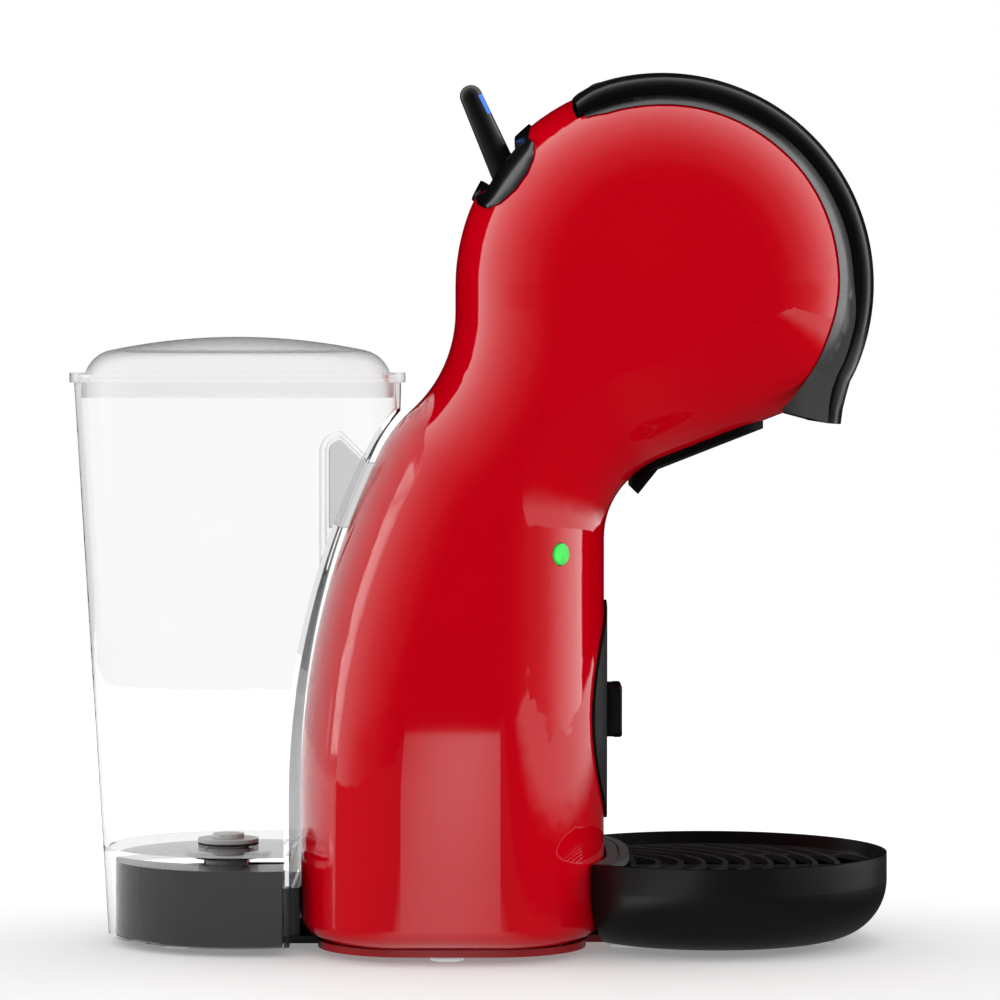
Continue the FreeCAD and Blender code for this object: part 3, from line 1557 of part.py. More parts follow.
def lever():
    rod = lever_stick("Lever", "0")
    hub_length = "lever_hub_front - lever_hub_back"
    hub = cylinder("lever_hub", hub_length, "lever_hub_back", "0", "0", FORWARD)
    bore = cylinder("shaft_radius + running_gap", hub_length, "lever_hub_back", "0", "0", FORWARD)
    core = lever_stick("LeverCore", "mark_depth")

    def inlay(y):
        """Thin piece let into the front of the stick."""
        window = box("2 * lever_root", "mark_half - mark_split / 2", "mark_high - mark_low", "0", y,
                     "mark_low")
        return cut(common(rod, window), core)

    cold_side = "-mark_half"
    hot_side = "mark_split / 2"
    recesses = fuse(inlay(cold_side), inlay(hot_side))
    keep(tilted(cut(cut(fuse(rod, hub), bore), recesses)), "lever")
    keep(tilted(inlay(cold_side)), "cold_mark")
    keep(tilted(inlay(hot_side)), "hot_mark")
    shaft = cylinder("shaft_radius", "shaft_front - lever_hub_back",
                     "lever_x + lever_hub_back * cos(lever_lean)", "0",
                     "lever_z + lever_hub_back * sin(lever_lean)", lever_turn.multVec(FORWARD))
    keep(shaft, "lever_shaft")


def mixing_valve():
    drum = cylinder("mixer_radius", "mixer_front - mixer_back", "mixer_back", "0", "0", FORWARD)
    ports = [cylinder("hose_radius", "mixer_radius + port_reach", x, y, "-mixer_radius - port_reach")
             for x, y in (("cold_port_x", "-port_y"), ("cold_port_x", "port_y"), ("hot_port_x", "0"))]
    outlet = cylinder("hose_radius", "port_reach", "mixer_front", "0", "0", FORWARD)
    bore_length = "shaft_front - mixer_back + seat_gap"
    bore = cylinder("shaft_radius + running_gap", bore_length, "mixer_back", "0", "0", FORWARD)
    keep(tilted(cut(fuse(drum, outlet, *ports), bore)), "mixing_valve")


lever()
mixing_valve()


# Power button with the switch and board behind it

def button_group():
    edge = "button_proud / 2"
    cap = turned("PowerButton", [
        ("0", "-button_depth", None), ("button_radius", "-button_depth", None),
        ("button_radius", "button_proud - " + edge, edge), ("button_radius - " + edge, "button_proud", None),
        ("0", "button_proud", None),
    ], "button_x", BUTTON_Y, "button_z", button_turn)
    keep(cap, "power_button")
    switch = new_body("TactSwitch")
    outline = rectangle("-switch_side / 2", "switch_side / 2", "switch_side / 2")
    pad(switch, draw(switch, "XY_Plane", outline, "-board_depth"), "switch_height")
    keep(place(switch, "button_x", BUTTON_Y, "button_z", button_turn), "tact_switch")
    board = new_body("ControlBoard")
    outline = rectangle("-board_width / 2", "board_width / 2", "board_length / 2")
    pad(board, draw(board, "XY_Plane", outline, "-board_depth - board_thickness"), "board_thickness")
    keep(place(board, "button_x", BUTTON_Y, "button_z", button_turn), "control_board")


button_group()


# Chassis, pump and heater

COIL_LOW = "(pump_bottom + pump_barrel_height)"
COIL_TOP = "(pump_bottom + pump_barrel_height + pump_coil_height)"
PUMP_TOP = "(pump_bottom + 2 * pump_barrel_height + pump_coil_height)"
NOZZLE_TOP = "(%s + pump_nozzle_height)" % PUMP_TOP
MOUNT_LEVELS = ("pump_bottom + mount_inset", PUMP_TOP + " - mount_inset - mount_height")
HEATER_Y = "(chassis_wall / 2 + heater_stand + heater_depth / 2)"
HEATER_FACE = "(chassis_wall / 2 + heater_stand + heater_depth)"
HEATER_TOP = "(heater_bottom + heater_height)"
STUB_TOP = "(%s + heater_stub_reach)" % HEATER_TOP


def chassis():
    length = "chassis_front - chassis_back"
    plate = box(length, "chassis_wall", "chassis_top - " + DECK, "chassis_back", "-chassis_wall / 2", DECK)
    foot = box(length, "2 * chassis_foot_half", "chassis_foot", "chassis_back", "-chassis_foot_half", DECK)
    arms = []
    for level in MOUNT_LEVELS:
        arm = box("arm_length", "-pump_y", "mount_height", "pump_x - arm_length / 2", "pump_y", level)
        arms.append(cut(arm, cylinder("mount_outer + seat_gap", "mount_height", "pump_x", "pump_y", level)))
    for level in ("heater_bottom + mount_inset", HEATER_TOP + " - mount_inset - mount_height"):
        arms.append(box("arm_length", "chassis_wall / 2 + heater_stand - seat_gap", "mount_height",
                        "heater_x - arm_length / 2", "0", level))
    keep(fuse(plate, foot, *arms), "chassis")


def pump():
    barrel = turned("Pump", [
        ("0", "pump_bottom", None), ("pump_barrel", "pump_bottom", None), ("pump_barrel", COIL_LOW, None),
        ("pump_coil", COIL_LOW, None), ("pump_coil", COIL_TOP, None), ("pump_barrel", COIL_TOP, None),
        ("pump_barrel", PUMP_TOP, None), ("pump_nozzle", PUMP_TOP, None),
        ("pump_nozzle", NOZZLE_TOP, None), ("0", NOZZLE_TOP, None),
    ], "pump_x", "pump_y")
    inlet = cylinder("pump_nozzle", "pump_inlet_reach", "pump_x - pump_inlet_reach", "pump_y", "pump_inlet_z",
                     FORWARD)
    keep(fuse(barrel, inlet), "pump")
    inner = "(pump_coil + slide_gap)"
    low = COIL_LOW + " - seat_gap"
    high = COIL_TOP + " + seat_gap"
    outer = "(%s + yoke_wall)" % inner
    height = "%s - (%s)" % (high, low)
    tube = box("2 * yoke_half", "2 * " + outer, height + " + 2 * yoke_wall", "pump_x - yoke_half",
               "pump_y - " + outer, low + " - yoke_wall")
    window = box("2 * yoke_half", "2 * " + inner, height, "pump_x - yoke_half", "pump_y - " + inner, low)
    bore = cylinder("pump_barrel + slide_gap", "chassis_top", "pump_x", "pump_y")
    keep(cut(tube, fuse(window, bore)), "pump_yoke")
    mounts = [cut(cylinder("mount_outer", "mount_height", "pump_x", "pump_y", level),
                  cylinder("pump_barrel + seat_gap", "mount_height", "pump_x", "pump_y", level))
              for level in MOUNT_LEVELS]
    group(mounts, "pump_mounts")


def heater():
    block = new_body("Thermoblock")
    outline = rectangle("-heater_length / 2", "heater_length / 2", "heater_depth / 2", "heater_round")
    pad(block, draw(block, "XY_Plane", outline, "heater_bottom"), "heater_height")
    place(block, "heater_x", HEATER_Y)
    stubs = [cylinder("hose_radius", "heater_stub_reach", x, HEATER_Y, HEATER_TOP)
             for x in ("heater_x - heater_stub_spread", "heater_x + heater_stub_spread")]
    keep(fuse(block, *stubs), "thermoblock")
    keep(cylinder("thermostat_radius", "thermostat_height", "heater_x", HEATER_FACE + " + seat_gap",
                  "thermostat_z", SIDEWAYS), "thermostat")
    keep(cylinder("fuse_radius", "fuse_length", "heater_x - fuse_length / 2",
                  HEATER_FACE + " + fuse_radius + seat_gap", "fuse_z", FORWARD), "thermal_fuse")


def mains():
    keep(box("terminal_length", "terminal_width", "terminal_height", "terminal_x", "terminal_y", DECK),
         "mains_terminal")
    low = "half_width - housing_wall - seat_gap - cord_collar_height"
    length = "housing_wall + cord_collar_height"
    tube = cylinder("cord_tube", length, "cord_x", low, "cord_z", SIDEWAYS)
    collar = cylinder("cord_collar", "cord_collar_height", "cord_x", low, "cord_z", SIDEWAYS)
    bore = cylinder("cord_bore", length, "cord_x", low, "cord_z", SIDEWAYS)
    keep(cut(fuse(tube, collar), bore), "cord_gland")


chassis()
pump()
heater()
mains()


# Hoses

def hose(points, label):
    """Round hose along straight runs that are joined by tangent arcs."""
    edges = []
    start = points[0]
    for before, corner, after in zip(points, points[1:], points[2:]):
        back = before - corner
        ahead = after - corner
        reach = size("hose_bend_share") * min(back.Length, ahead.Length)
        back.normalize()
        ahead.normalize()
        half_angle = back.getAngle(ahead) / 2
        inward = (back + ahead).normalize()
        middle = corner + inward * (reach / math.cos(half_angle) - reach * math.tan(half_angle))
        enter = corner + back * reach
        leave = corner + ahead * reach
        edges.append(Part.makeLine(start, enter))
        edges.append(Part.Arc(enter, middle, leave).toShape())
        start = leave
    edges.append(Part.makeLine(start, points[-1]))
    circle = Part.Circle(points[0], points[1] - points[0], size("hose_radius"))
    pipe = Part.Wire(edges).makePipeShell([Part.Wire(circle.toShape())], True, False)
    keep(moulded(pipe, "Hose"), label)


def spot(x, y, z):
    return FreeCAD.Vector(value(x), value(y), value(z))


def mixer_port(x, y, reach):
    """Place below the mixing valve, at a distance from its axis."""
    return lever_place.multVec(FreeCAD.Vector(size(x), y, -reach))


def hoses():
    port_y = size("port_y")
    port = size("mixer_radius") + size("port_reach")
    run = port + size("port_run")
    hose([spot("valve_x + spigot_reach", "0", "spigot_z"),
          spot("valve_x + spigot_reach + inlet_run", "0", "spigot_z"),
          spot("inlet_turn_x", "pump_y", "pump_inlet_z"),
          spot("pump_x - pump_inlet_reach", "pump_y", "pump_inlet_z")], "inlet_hose")
    hose([spot("pump_x", "pump_y", NOZZLE_TOP),
          spot("pump_x", "pump_y", NOZZLE_TOP + " + pump_run"),
          spot("pump_route_x", "pump_route_y", "pump_route_z"),
          mixer_port("cold_port_x", -port_y, run),
          mixer_port("cold_port_x", -port_y, port)], "pump_hose")
    hose([mixer_port("cold_port_x", port_y, port),
          mixer_port("cold_port_x", port_y, run),
          spot("boiler_route_x", "boiler_route_y", "boiler_route_z"),
          spot("heater_x - heater_stub_spread", HEATER_Y, STUB_TOP + " + heater_run"),
          spot("heater_x - heater_stub_spread", HEATER_Y, STUB_TOP)], "boiler_hose")
    hose([spot("heater_x + heater_stub_spread", HEATER_Y, STUB_TOP),
          spot("heater_x + heater_stub_spread", HEATER_Y, STUB_TOP + " + heater_run"),
          spot("hot_route_x", "hot_route_y", "hot_route_z"),
          mixer_port("hot_port_x", 0, run),
          mixer_port("hot_port_x", 0, port)], "hot_hose")
    front = size("mixer_front") + size("port_reach")
    hose([lever_place.multVec(FORWARD * front),
          lever_place.multVec(FORWARD * (front + size("port_run") / 2)),
          spot("head_run_x", "0", "gland_port_z"),
          spot("holder_x - gland_port_reach", "0", "gland_port_z")], "head_hose")


hoses()


# Checks and files

doc.recompute()
for item in doc.Objects:
    if "Invalid" in item.State or "Error" in item.State:
        raise RuntimeError("%s (%s) is not built: %s" % (item.Label, item.Name, item.State))
os.makedirs("parts", exist_ok=True)
for item in nodes:
    if item.Shape.isNull() or not item.Shape.isValid():
        raise RuntimeError("%s has no valid shape" % item.Label)
    item.Shape.exportStep("parts/%s.step" % item.Label)
    print(item.Label, len(item.Shape.Solids), "solids", round(item.Shape.Volume), "mm3")
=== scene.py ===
from functools import partial
import math

import bpy
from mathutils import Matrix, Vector


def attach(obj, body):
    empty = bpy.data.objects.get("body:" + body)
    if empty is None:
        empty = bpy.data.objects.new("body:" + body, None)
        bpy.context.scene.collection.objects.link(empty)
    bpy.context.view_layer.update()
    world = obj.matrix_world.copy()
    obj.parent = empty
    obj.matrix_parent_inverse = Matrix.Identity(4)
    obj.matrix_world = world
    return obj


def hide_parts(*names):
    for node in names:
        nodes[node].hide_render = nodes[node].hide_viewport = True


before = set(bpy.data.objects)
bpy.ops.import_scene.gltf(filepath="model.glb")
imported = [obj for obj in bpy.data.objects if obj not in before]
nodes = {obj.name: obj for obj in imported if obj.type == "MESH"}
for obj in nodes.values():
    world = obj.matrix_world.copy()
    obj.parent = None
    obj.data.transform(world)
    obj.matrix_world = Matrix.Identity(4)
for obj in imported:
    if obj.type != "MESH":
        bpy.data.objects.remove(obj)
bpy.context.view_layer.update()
scene = bpy.context.scene
scene.view_settings.view_transform = "Standard"


# Shader helpers; noise scales are per metre of the part

NOISE_LOW = 0.3
NOISE_HIGH = 0.7
TONE_SCALE = 14
GLOSS_SCALE = 55
BRUSH_SCALE = 160
POLISH_SCALE = 240
GLOW_SCALE = 220
METAL_DETAIL = 4


def srgb(red, green, blue):
    """Linear colour of a colour given on the 0 to 255 scale."""
    def channel(level):
        level /= 255
        return level / 12.92 if level <= 0.04045 else ((level + 0.055) / 1.055) ** 2.4
    return tuple(channel(level) for level in (red, green, blue))


def new_material(name):
    """Material with its node tree and its shader."""
    material = bpy.data.materials.new(name)
    material.use_nodes = True
    return material, material.node_tree, material.node_tree.nodes["Principled BSDF"]


def axes(tree, kind="Object"):
    """X, Y and Z of a texture coordinate."""
    split = tree.nodes.new("ShaderNodeSeparateXYZ")
    tree.links.new(tree.nodes.new("ShaderNodeTexCoord").outputs[kind], split.inputs["Vector"])
    return split.outputs


def math_node(tree, operation, first, second=0.0):
    """Math node; an input is a number or a socket."""
    node = tree.nodes.new("ShaderNodeMath")
    node.operation = operation
    for slot, source in zip(node.inputs, (first, second)):
        if isinstance(source, (int, float)):
            slot.default_value = source
        else:
            tree.links.new(source, slot)
    return node.outputs["Value"]


def arithmetic(tree, *operations):
    """A function for each operation, which adds a math node to the tree."""
    return [partial(math_node, tree, operation) for operation in operations]


def colour_stops(tree, source, stops, interpolation="LINEAR"):
    """Colour that follows stops of position and colour."""
    ramp = tree.nodes.new("ShaderNodeValToRGB")
    ramp.color_ramp.interpolation = interpolation
    elements = ramp.color_ramp.elements
    while len(elements) < len(stops):
        elements.new(0.5)
    for element, (position, colour) in zip(elements, stops):
        element.position = position
        element.color = colour + (1,)
    tree.links.new(source, ramp.inputs["Fac"])
    return ramp.outputs["Color"]


def fade(tree, source, stops, interpolation="EASE"):
    """Number that follows stops of position and level."""
    return colour_stops(tree, source, [(position, (level,) * 3) for position, level in stops], interpolation)


def map_range(tree, source, start, end, low=0.0, high=1.0):
    """Number that goes from low to high as the source goes from start to end."""
    span = tree.nodes.new("ShaderNodeMapRange")
    span.inputs["From Min"].default_value = start
    span.inputs["From Max"].default_value = end
    span.inputs["To Min"].default_value = low
    span.inputs["To Max"].default_value = high
    tree.links.new(source, span.inputs["Value"])
    return span.outputs["Result"]


def noise(tree, scale, detail=3.0, stretch=None):
    """Noise in the part's own frame; stretch scales it along each axis."""
    texture = tree.nodes.new("ShaderNodeTexNoise")
    texture.inputs["Scale"].default_value = scale
    texture.inputs["Detail"].default_value = detail
    source = tree.nodes.new("ShaderNodeTexCoord").outputs["Object"]
    if stretch is not None:
        mapping = tree.nodes.new("ShaderNodeMapping")
        mapping.inputs["Scale"].default_value = stretch
        tree.links.new(source, mapping.inputs["Vector"])
        source = mapping.outputs["Vector"]
    tree.links.new(source, texture.inputs["Vector"])
    return texture.outputs["Fac"]


def tones(tree, factor, dark, light):
    """Colour that wanders between two tones."""
    return colour_stops(tree, factor, [(NOISE_LOW, dark), (NOISE_HIGH, light)])


def spread(tree, factor, low, high):
    """Number that wanders between two limits."""
    return map_range(tree, factor, NOISE_LOW, NOISE_HIGH, low, high)


def shade(tone, share):
    """Lighter or darker tone."""
    return tuple(min(1, level * share) for level in tone)


# Kinds of material

# Moulding textures: noise scale and height in metres
POLISHED = (700, 0.0000006)
GLOSSY = (700, 0.000002)
MOULDED = (900, 0.000004)
SOFT_GRAIN = (1500, 0.000004)
FINE_GRAIN = (1500, 0.000006)
SATIN_GRAIN = (1500, 0.000008)
MATT_GRAIN = (1500, 0.00001)
GRAIN_DETAIL = 2.0


def moulded(name, rough, texture, specular=0.5):
    """Plastic without its colour: uneven gloss and a fine moulding texture."""
    material, tree, shader = new_material(name)
    uneven = spread(tree, noise(tree, GLOSS_SCALE), rough * 0.85, rough * 1.15)
    tree.links.new(uneven, shader.inputs["Roughness"])
    shader.inputs["Specular IOR Level"].default_value = specular
    scale, height = texture
    bump = tree.nodes.new("ShaderNodeBump")
    bump.inputs["Strength"].default_value = 1.0
    bump.inputs["Distance"].default_value = height
    tree.links.new(noise(tree, scale, GRAIN_DETAIL), bump.inputs["Height"])
    tree.links.new(bump.outputs["Normal"], shader.inputs["Normal"])
    return material, tree, shader


def plastic(name, tone, rough, shift=0.06, texture=MOULDED, specular=0.5):
    """Moulded plastic whose tone drifts a little."""
    material, tree, shader = moulded(name, rough, texture, specular)
    drift = tones(tree, noise(tree, TONE_SCALE), shade(tone, 1 - shift), shade(tone, 1 + shift))
    tree.links.new(drift, shader.inputs["Base Color"])
    return material


def metal(name, tone, rough, stretch=(1, 1, 1)):
    """Metal with an uneven tone and gloss; stretch makes it look brushed."""
    material, tree, shader = new_material(name)
    brushed = tones(tree, noise(tree, BRUSH_SCALE, METAL_DETAIL, stretch), shade(tone, 0.85), tone)
    tree.links.new(brushed, shader.inputs["Base Color"])
    uneven = spread(tree, noise(tree, POLISH_SCALE, METAL_DETAIL, stretch), rough * 0.8, rough * 1.3)
    tree.links.new(uneven, shader.inputs["Roughness"])
    shader.inputs["Metallic"].default_value = 1.0
    return material


def clear(name, tone, rough_low, rough_high, ior, mottle):
    """Clear plastic with slightly uneven gloss."""
    material, tree, shader = new_material(name)
    tint = tones(tree, noise(tree, mottle), shade(tone, 0.985), tone)
    tree.links.new(tint, shader.inputs["Base Color"])
    uneven = spread(tree, noise(tree, mottle * 2), rough_low, rough_high)
    tree.links.new(uneven, shader.inputs["Roughness"])
    shader.inputs["Transmission Weight"].default_value = 1.0
    shader.inputs["IOR"].default_value = ior
    return material


def lit(name, bright, dim, strength):
    """Plastic that glows a little unevenly."""
    material, tree, shader = new_material(name)
    colour = tones(tree, noise(tree, GLOW_SCALE), dim, bright)
    tree.links.new(colour, shader.inputs["Base Color"])
    tree.links.new(colour, shader.inputs["Emission Color"])
    shader.inputs["Emission Strength"].default_value = strength
    shader.inputs["Roughness"].default_value = 0.25
    return material


# Places along X, in metres, where a colour changes; between the two cheek places the cheeks get a painted
# highlight
CHEEK_DARK_END = 0.085
CHEEK_PALE_END = 0.112
BASE_RED_BACK = -0.053
BASE_RED_FRONT = 0.04


def cheek_painted_highlight():
    """Cheek plastic with a painted highlight: grey at the front, black further back."""
    material, tree, shader = moulded("cheek_grey_painted_highlight", 0.28, SOFT_GRAIN)
    share = map_range(tree, axes(tree)["X"], CHEEK_DARK_END, CHEEK_PALE_END)
    # painted highlight: the tone goes from black to grey towards the front
    tree.links.new(tones(tree, share, srgb(14, 14, 15), srgb(66, 66, 67)), shader.inputs["Base Color"])
    return material


def base_plastic():
    """Black plastic of the base plate, red where it closes the column."""
    material, tree, shader = new_material("base_red_black")
    black = srgb(12, 12, 13)
    stops = [(0.0, black), (0.5 + BASE_RED_BACK, srgb(150, 0, 14)), (0.5 + BASE_RED_FRONT, black)]
    place = math_node(tree, "ADD", axes(tree)["X"], 0.5)
    tree.links.new(colour_stops(tree, place, stops, "CONSTANT"), shader.inputs["Base Color"])
    tree.links.new(spread(tree, noise(tree, GLOSS_SCALE), 0.3, 0.4), shader.inputs["Roughness"])
    return material


# Materials of the nodes

def dress(material, *names):
    """Give nodes a material."""
    for name in names:
        slots = nodes[name].data.materials
        if len(slots) == 0:
            slots.append(material)
        for index in range(len(slots)):
            slots[index] = material


black_gloss = plastic("black_gloss", srgb(6, 6, 7), 0.26, 0.1, GLOSSY, 0.35)
bezel_black = plastic("bezel_black", srgb(8, 8, 9), 0.15)
cheek_grey_painted_highlight = cheek_painted_highlight()

dress(plastic("red_gloss", srgb(186, 0, 18), 0.035, 0.03, POLISHED), "left_shell", "right_shell")
dress(black_gloss, "handle", "tray_hook")
dress(plastic("plate_black", srgb(8, 8, 9), 0.4, 0.1, FINE_GRAIN, 0.15), "front_plate")
dress(bezel_black, "lever_bezel")
dress(plastic("black_satin", srgb(10, 10, 11), 0.3, 0.08, SATIN_GRAIN), "drip_tray")
dress(plastic("cover_black", srgb(6, 6, 7), 0.5, 0.08, SOFT_GRAIN, 0.12), "underside_cover")
dress(plastic("lever_black", srgb(14, 14, 15), 0.2, 0.1, SOFT_GRAIN), "lever")
# Drip grid: dark plastic whose tone is lifted to grey as a painted highlight on the ribs
dress(plastic("grid_black_painted_sheen", srgb(50, 50, 51), 0.22, 0.08, SOFT_GRAIN), "drip_grid")
dress(cheek_grey_painted_highlight, "handle_cheeks")
dress(plastic("frame_grey", srgb(52, 52, 53), 0.4, 0.05, MATT_GRAIN), "front_frame", "capsule_holder")
dress(plastic("ledge_grey", srgb(70, 70, 71), 0.5, 0.05, MATT_GRAIN), "tray_ledge")
dress(plastic("plinth_grey", srgb(44, 44, 45), 0.15, 0.06, MATT_GRAIN), "tank_plinth", "inlet_seat")
dress(plastic("valve_white", srgb(178, 178, 178), 0.4, 0.03), "valve_body", "valve_poppet")
dress(plastic("cold_blue", srgb(0, 125, 255), 0.3, 0.05), "cold_mark")
dress(plastic("hot_red", srgb(215, 25, 30), 0.3, 0.05), "hot_mark")
dress(plastic("seal_rubber", srgb(30, 30, 30), 0.7, 0.1),
      "valve_seal", "inlet_seal", "injector_seal", "pump_mounts")
dress(plastic("inner_plastic", srgb(90, 90, 92), 0.45, 0.06),
      "injector", "injector_bridge", "feed_gland", "mixing_valve", "chassis", "mains_terminal", "cord_gland",
      "pump", "tact_switch")
dress(plastic("board_green", srgb(20, 95, 45), 0.4, 0.15), "control_board")
dress(plastic("hose_silicone", srgb(215, 213, 205), 0.45, 0.04),
      "inlet_hose", "pump_hose", "boiler_hose", "hot_hose", "head_hose")
dress(metal("steel", srgb(190, 190, 192), 0.3, (1, 12, 1)),
      "hinge_pin", "lever_shaft", "shell_screws", "needle", "guide_posts", "pump_yoke", "thermal_fuse")
dress(metal("heater_metal", srgb(205, 206, 208), 0.42), "thermoblock", "thermostat")
dress(clear("clear_tank", (0.975, 0.978, 0.978), 0.0, 0.03, 1.09, 20), "tank")
dress(clear("hook_clear", (0.68, 0.675, 0.68), 0.1, 0.16, 1.15, 30), "tank_hook")
dress(clear("frosted_lid", (0.94, 0.94, 0.945), 0.16, 0.2, 1.1, 6), "tank_lid")
dress(clear("foot_clear", (0.93, 0.94, 0.94), 0.2, 0.35, 1.4, 90), "base_feet", "tray_feet")
dress(base_plastic(), "base_plate")
dress(lit("button_green", srgb(40, 215, 70), srgb(15, 170, 45), 0.3), "power_button")


# Outlines and meshes in the head's side view, in millimetres

MM = 0.001
HEAD = (59.6, 216.5)
HEAD_RADIUS = 67.2
HALF_WIDTH = 66
SIDE_CROWN = 54
SIDE_ROUND = 34
SHARP_ANGLE = 35
STRIPS = 8


def polar(radius, angle):
    """Point of the side view, measured from the middle of the round head."""
    turn = math.radians(angle)
    return (HEAD[0] + radius * math.cos(turn), HEAD[1] + radius * math.sin(turn))


def between(a, b, share):
    """Point part of the way from a to b."""
    return tuple(m + (n - m) * share for m, n in zip(a, b))


def along(points, count):
    """Evenly spaced points on a polyline."""
    steps = [math.dist(a, b) for a, b in zip(points, points[1:])]
    total = sum(steps)
    made = []
    for index in range(count):
        way = total * index / (count - 1)
        place = 0
        while place < len(steps) - 1 and way > steps[place]:
            way -= steps[place]
            place += 1
        made.append(between(points[place], points[place + 1], min(1, way / steps[place])))
    return made


def sweep(stops, count):
    """Points round the head; each stop is an angle and a radius."""
    made = []
    for index in range(count):
        angle = stops[0][0] + (stops[-1][0] - stops[0][0]) * index / (count - 1)
        place = 0
        while place < len(stops) - 2 and angle < stops[place + 1][0]:
            place += 1
        (first, low), (last, high) = stops[place:place + 2]
        share = (angle - first) / (last - first)
        share = share * share * (3 - 2 * share)
        made.append(polar(low + (high - low) * share, angle))
    return made


def piece(name, points, faces, material, body):
    """Mesh piece from points in millimetres that rides on a body."""
    mesh = bpy.data.meshes.new(name)
    mesh.from_pydata([tuple(value * MM for value in point) for point in points], [], faces)
    mesh.update()
    item = bpy.data.objects.new(name, mesh)
    scene.collection.objects.link(item)
    mesh.materials.append(material)
    mesh.shade_smooth()
    mesh.set_sharp_from_angle(angle=math.radians(SHARP_ANGLE))
    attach(item, body)
    return item


def closed_strip(name, points, rings, material, body, side):
    """Thin solid from rows of front points, each followed by its row of back points."""
    width = 2 * (STRIPS + 1)
    loop = list(range(STRIPS + 1)) + list(range(width - 1, STRIPS, -1))
    faces = [tuple(loop), tuple((rings - 1) * width + index for index in reversed(loop))]
    for ring in range(rings - 1):
        low = ring * width
        for a, b in zip(loop, loop[1:] + loop[:1]):
            faces.append((low + b, low + a, low + a + width, low + b + width))
    if side < 0:
        faces = [face[::-1] for face in faces]
    return piece(name + ("_left" if side < 0 else "_right"), points, faces, material, body)


# Bezel laps

BEZEL_LOW = [(-0.9, 245), (2.4, 246.4), (5.6, 251.9), (9.5, 257.3), (13.1, 261.3), (16, 263.6)]
BEZEL_HIGH = [(-0.4, 242.4), (2.5, 240.5), (7, 242.2), (11.8, 246.4), (15.6, 251.7), (17.6, 256.8),
              (17.9, 261.3)]
LAP_RINGS = 40
LAP_EDGE = 0.3
LAP_CROWN = 0.6
LAP_SUNK = 0.4


def housing_edge(x, z, lift):
    """Half width of the housing's round edge at a point of the side view, moved out by the lift."""
    bend = max(0, 1 - (HEAD_RADIUS + lift - math.dist((x, z), HEAD)) / SIDE_ROUND)
    return HALF_WIDTH + lift - SIDE_CROWN * (1 - math.sqrt(max(0, 1 - bend * bend)))


def bezel_lap(side):
    """Crescent by which the bezel laps over the housing's side."""
    points = []
    for a, b in zip(along(BEZEL_LOW, LAP_RINGS), along(BEZEL_HIGH, LAP_RINGS)):
        for on_top in (True, False):
            for step in range(STRIPS + 1):
                share = step / STRIPS
                x, z = between(a, b, share)
                lift = LAP_EDGE + LAP_CROWN * math.sqrt(1 - share ** 4) if on_top else -LAP_SUNK
                points.append((x, side * housing_edge(x, z, lift), z))
    return closed_strip("bezel_lap", points, LAP_RINGS, bezel_black, "machine", side)


# Handle with the crowned section that the plain solid lacks

TURNS = 80
TAIL_RINGS = 12
RINGS = TURNS + TAIL_RINGS
BAND_TOP_STOPS = [(115.8, 65.1), (113.2, 65.95), (110, 66.4), (107, 66.63), (103, 66.7), (-24, 66.7)]
BAND_TOP_TAIL = [(118.8, 186), (117.4, 181), (116.3, 176.5), (115.7, 171.6)]
BAND_LOW_STOPS = [(117.3, 59.9), (4, 59.9), (-13, 61.9), (-24, 62.6)]
BAND_LOW_TAIL = [(115, 187.6), (113.2, 182.6), (112.2, 177.2), (111.9, 171.9)]
CROWN = [(0, 3.0), (10, 2.85), (20, 2.35), (30, 1.5), (38, 0.55), (42, -0.25), (44.3, -1.3), (45.5, -2.6),
         (45.8, -4)]
HANDLE_HALF = CROWN[-1][0]
BAND_WALL = 3.8
BAND_HOLLOW = 3.5
HINGE_RADIUS = 61
HINGE_ANGLE = 108.5
LUG_PLACE = 25
LUG_SLOT_WIDTH = 10.6
LUG_SLOT_RADIUS = 8.2


def handle_band():
    """Crowned band: its top follows the crown, its sides reach down to the housing."""
    top = sweep(BAND_TOP_STOPS, TURNS) + along(BAND_TOP_TAIL, TAIL_RINGS)
    low = sweep(BAND_LOW_STOPS, TURNS) + along(BAND_LOW_TAIL, TAIL_RINGS)
    wall = HANDLE_HALF - BAND_WALL
    inside = [(HANDLE_HALF, 0), (wall, 0), (wall, BAND_HOLLOW)]
    section = [(-y, rise, True) for y, rise in reversed(CROWN)]
    section += [(y, rise, True) for y, rise in CROWN[1:]]
    section += [(y, rise, False) for y, rise in inside]
    section += [(-y, rise, False) for y, rise in reversed(inside)]
    points = []
    for far, near in zip(top, low):
        depth = math.dist(far, near)
        out = tuple((m - n) / depth for m, n in zip(far, near))
        for y, rise, on_top in section:
            base = far if on_top else near
            points.append((base[0] + out[0] * rise, y, base[1] + out[1] * rise))
    size = len(section)
    faces = [tuple(range(size))[::-1], tuple(range((RINGS - 1) * size, RINGS * size))]
    for ring in range(RINGS - 1):
        for index in range(size):
            a = ring * size + index
            b = ring * size + (index + 1) % size
            faces.append((a, b, b + size, a + size))
    return piece("handle_band", points, faces, black_gloss, "handle")


def lug_slots(item):
    """Slots for the frame's two hinge lugs."""
    x, z = polar(HINGE_RADIUS, HINGE_ANGLE)
    for side in (-1, 1):
        bpy.ops.mesh.primitive_cylinder_add(vertices=64, radius=LUG_SLOT_RADIUS * MM,
                                            depth=LUG_SLOT_WIDTH * MM,
                                            location=(x * MM, side * LUG_PLACE * MM, z * MM),
                                            rotation=(math.pi / 2, 0, 0))
        cutter = bpy.context.object
        slot = item.modifiers.new("slot", "BOOLEAN")
        slot.object = cutter
        slot.solver = "EXACT"
        graph = bpy.context.evaluated_depsgraph_get()
        shape = bpy.data.meshes.new_from_object(item.evaluated_get(graph))
        item.modifiers.clear()
        item.data = shape
        bpy.data.objects.remove(cutter)


# Cheeks

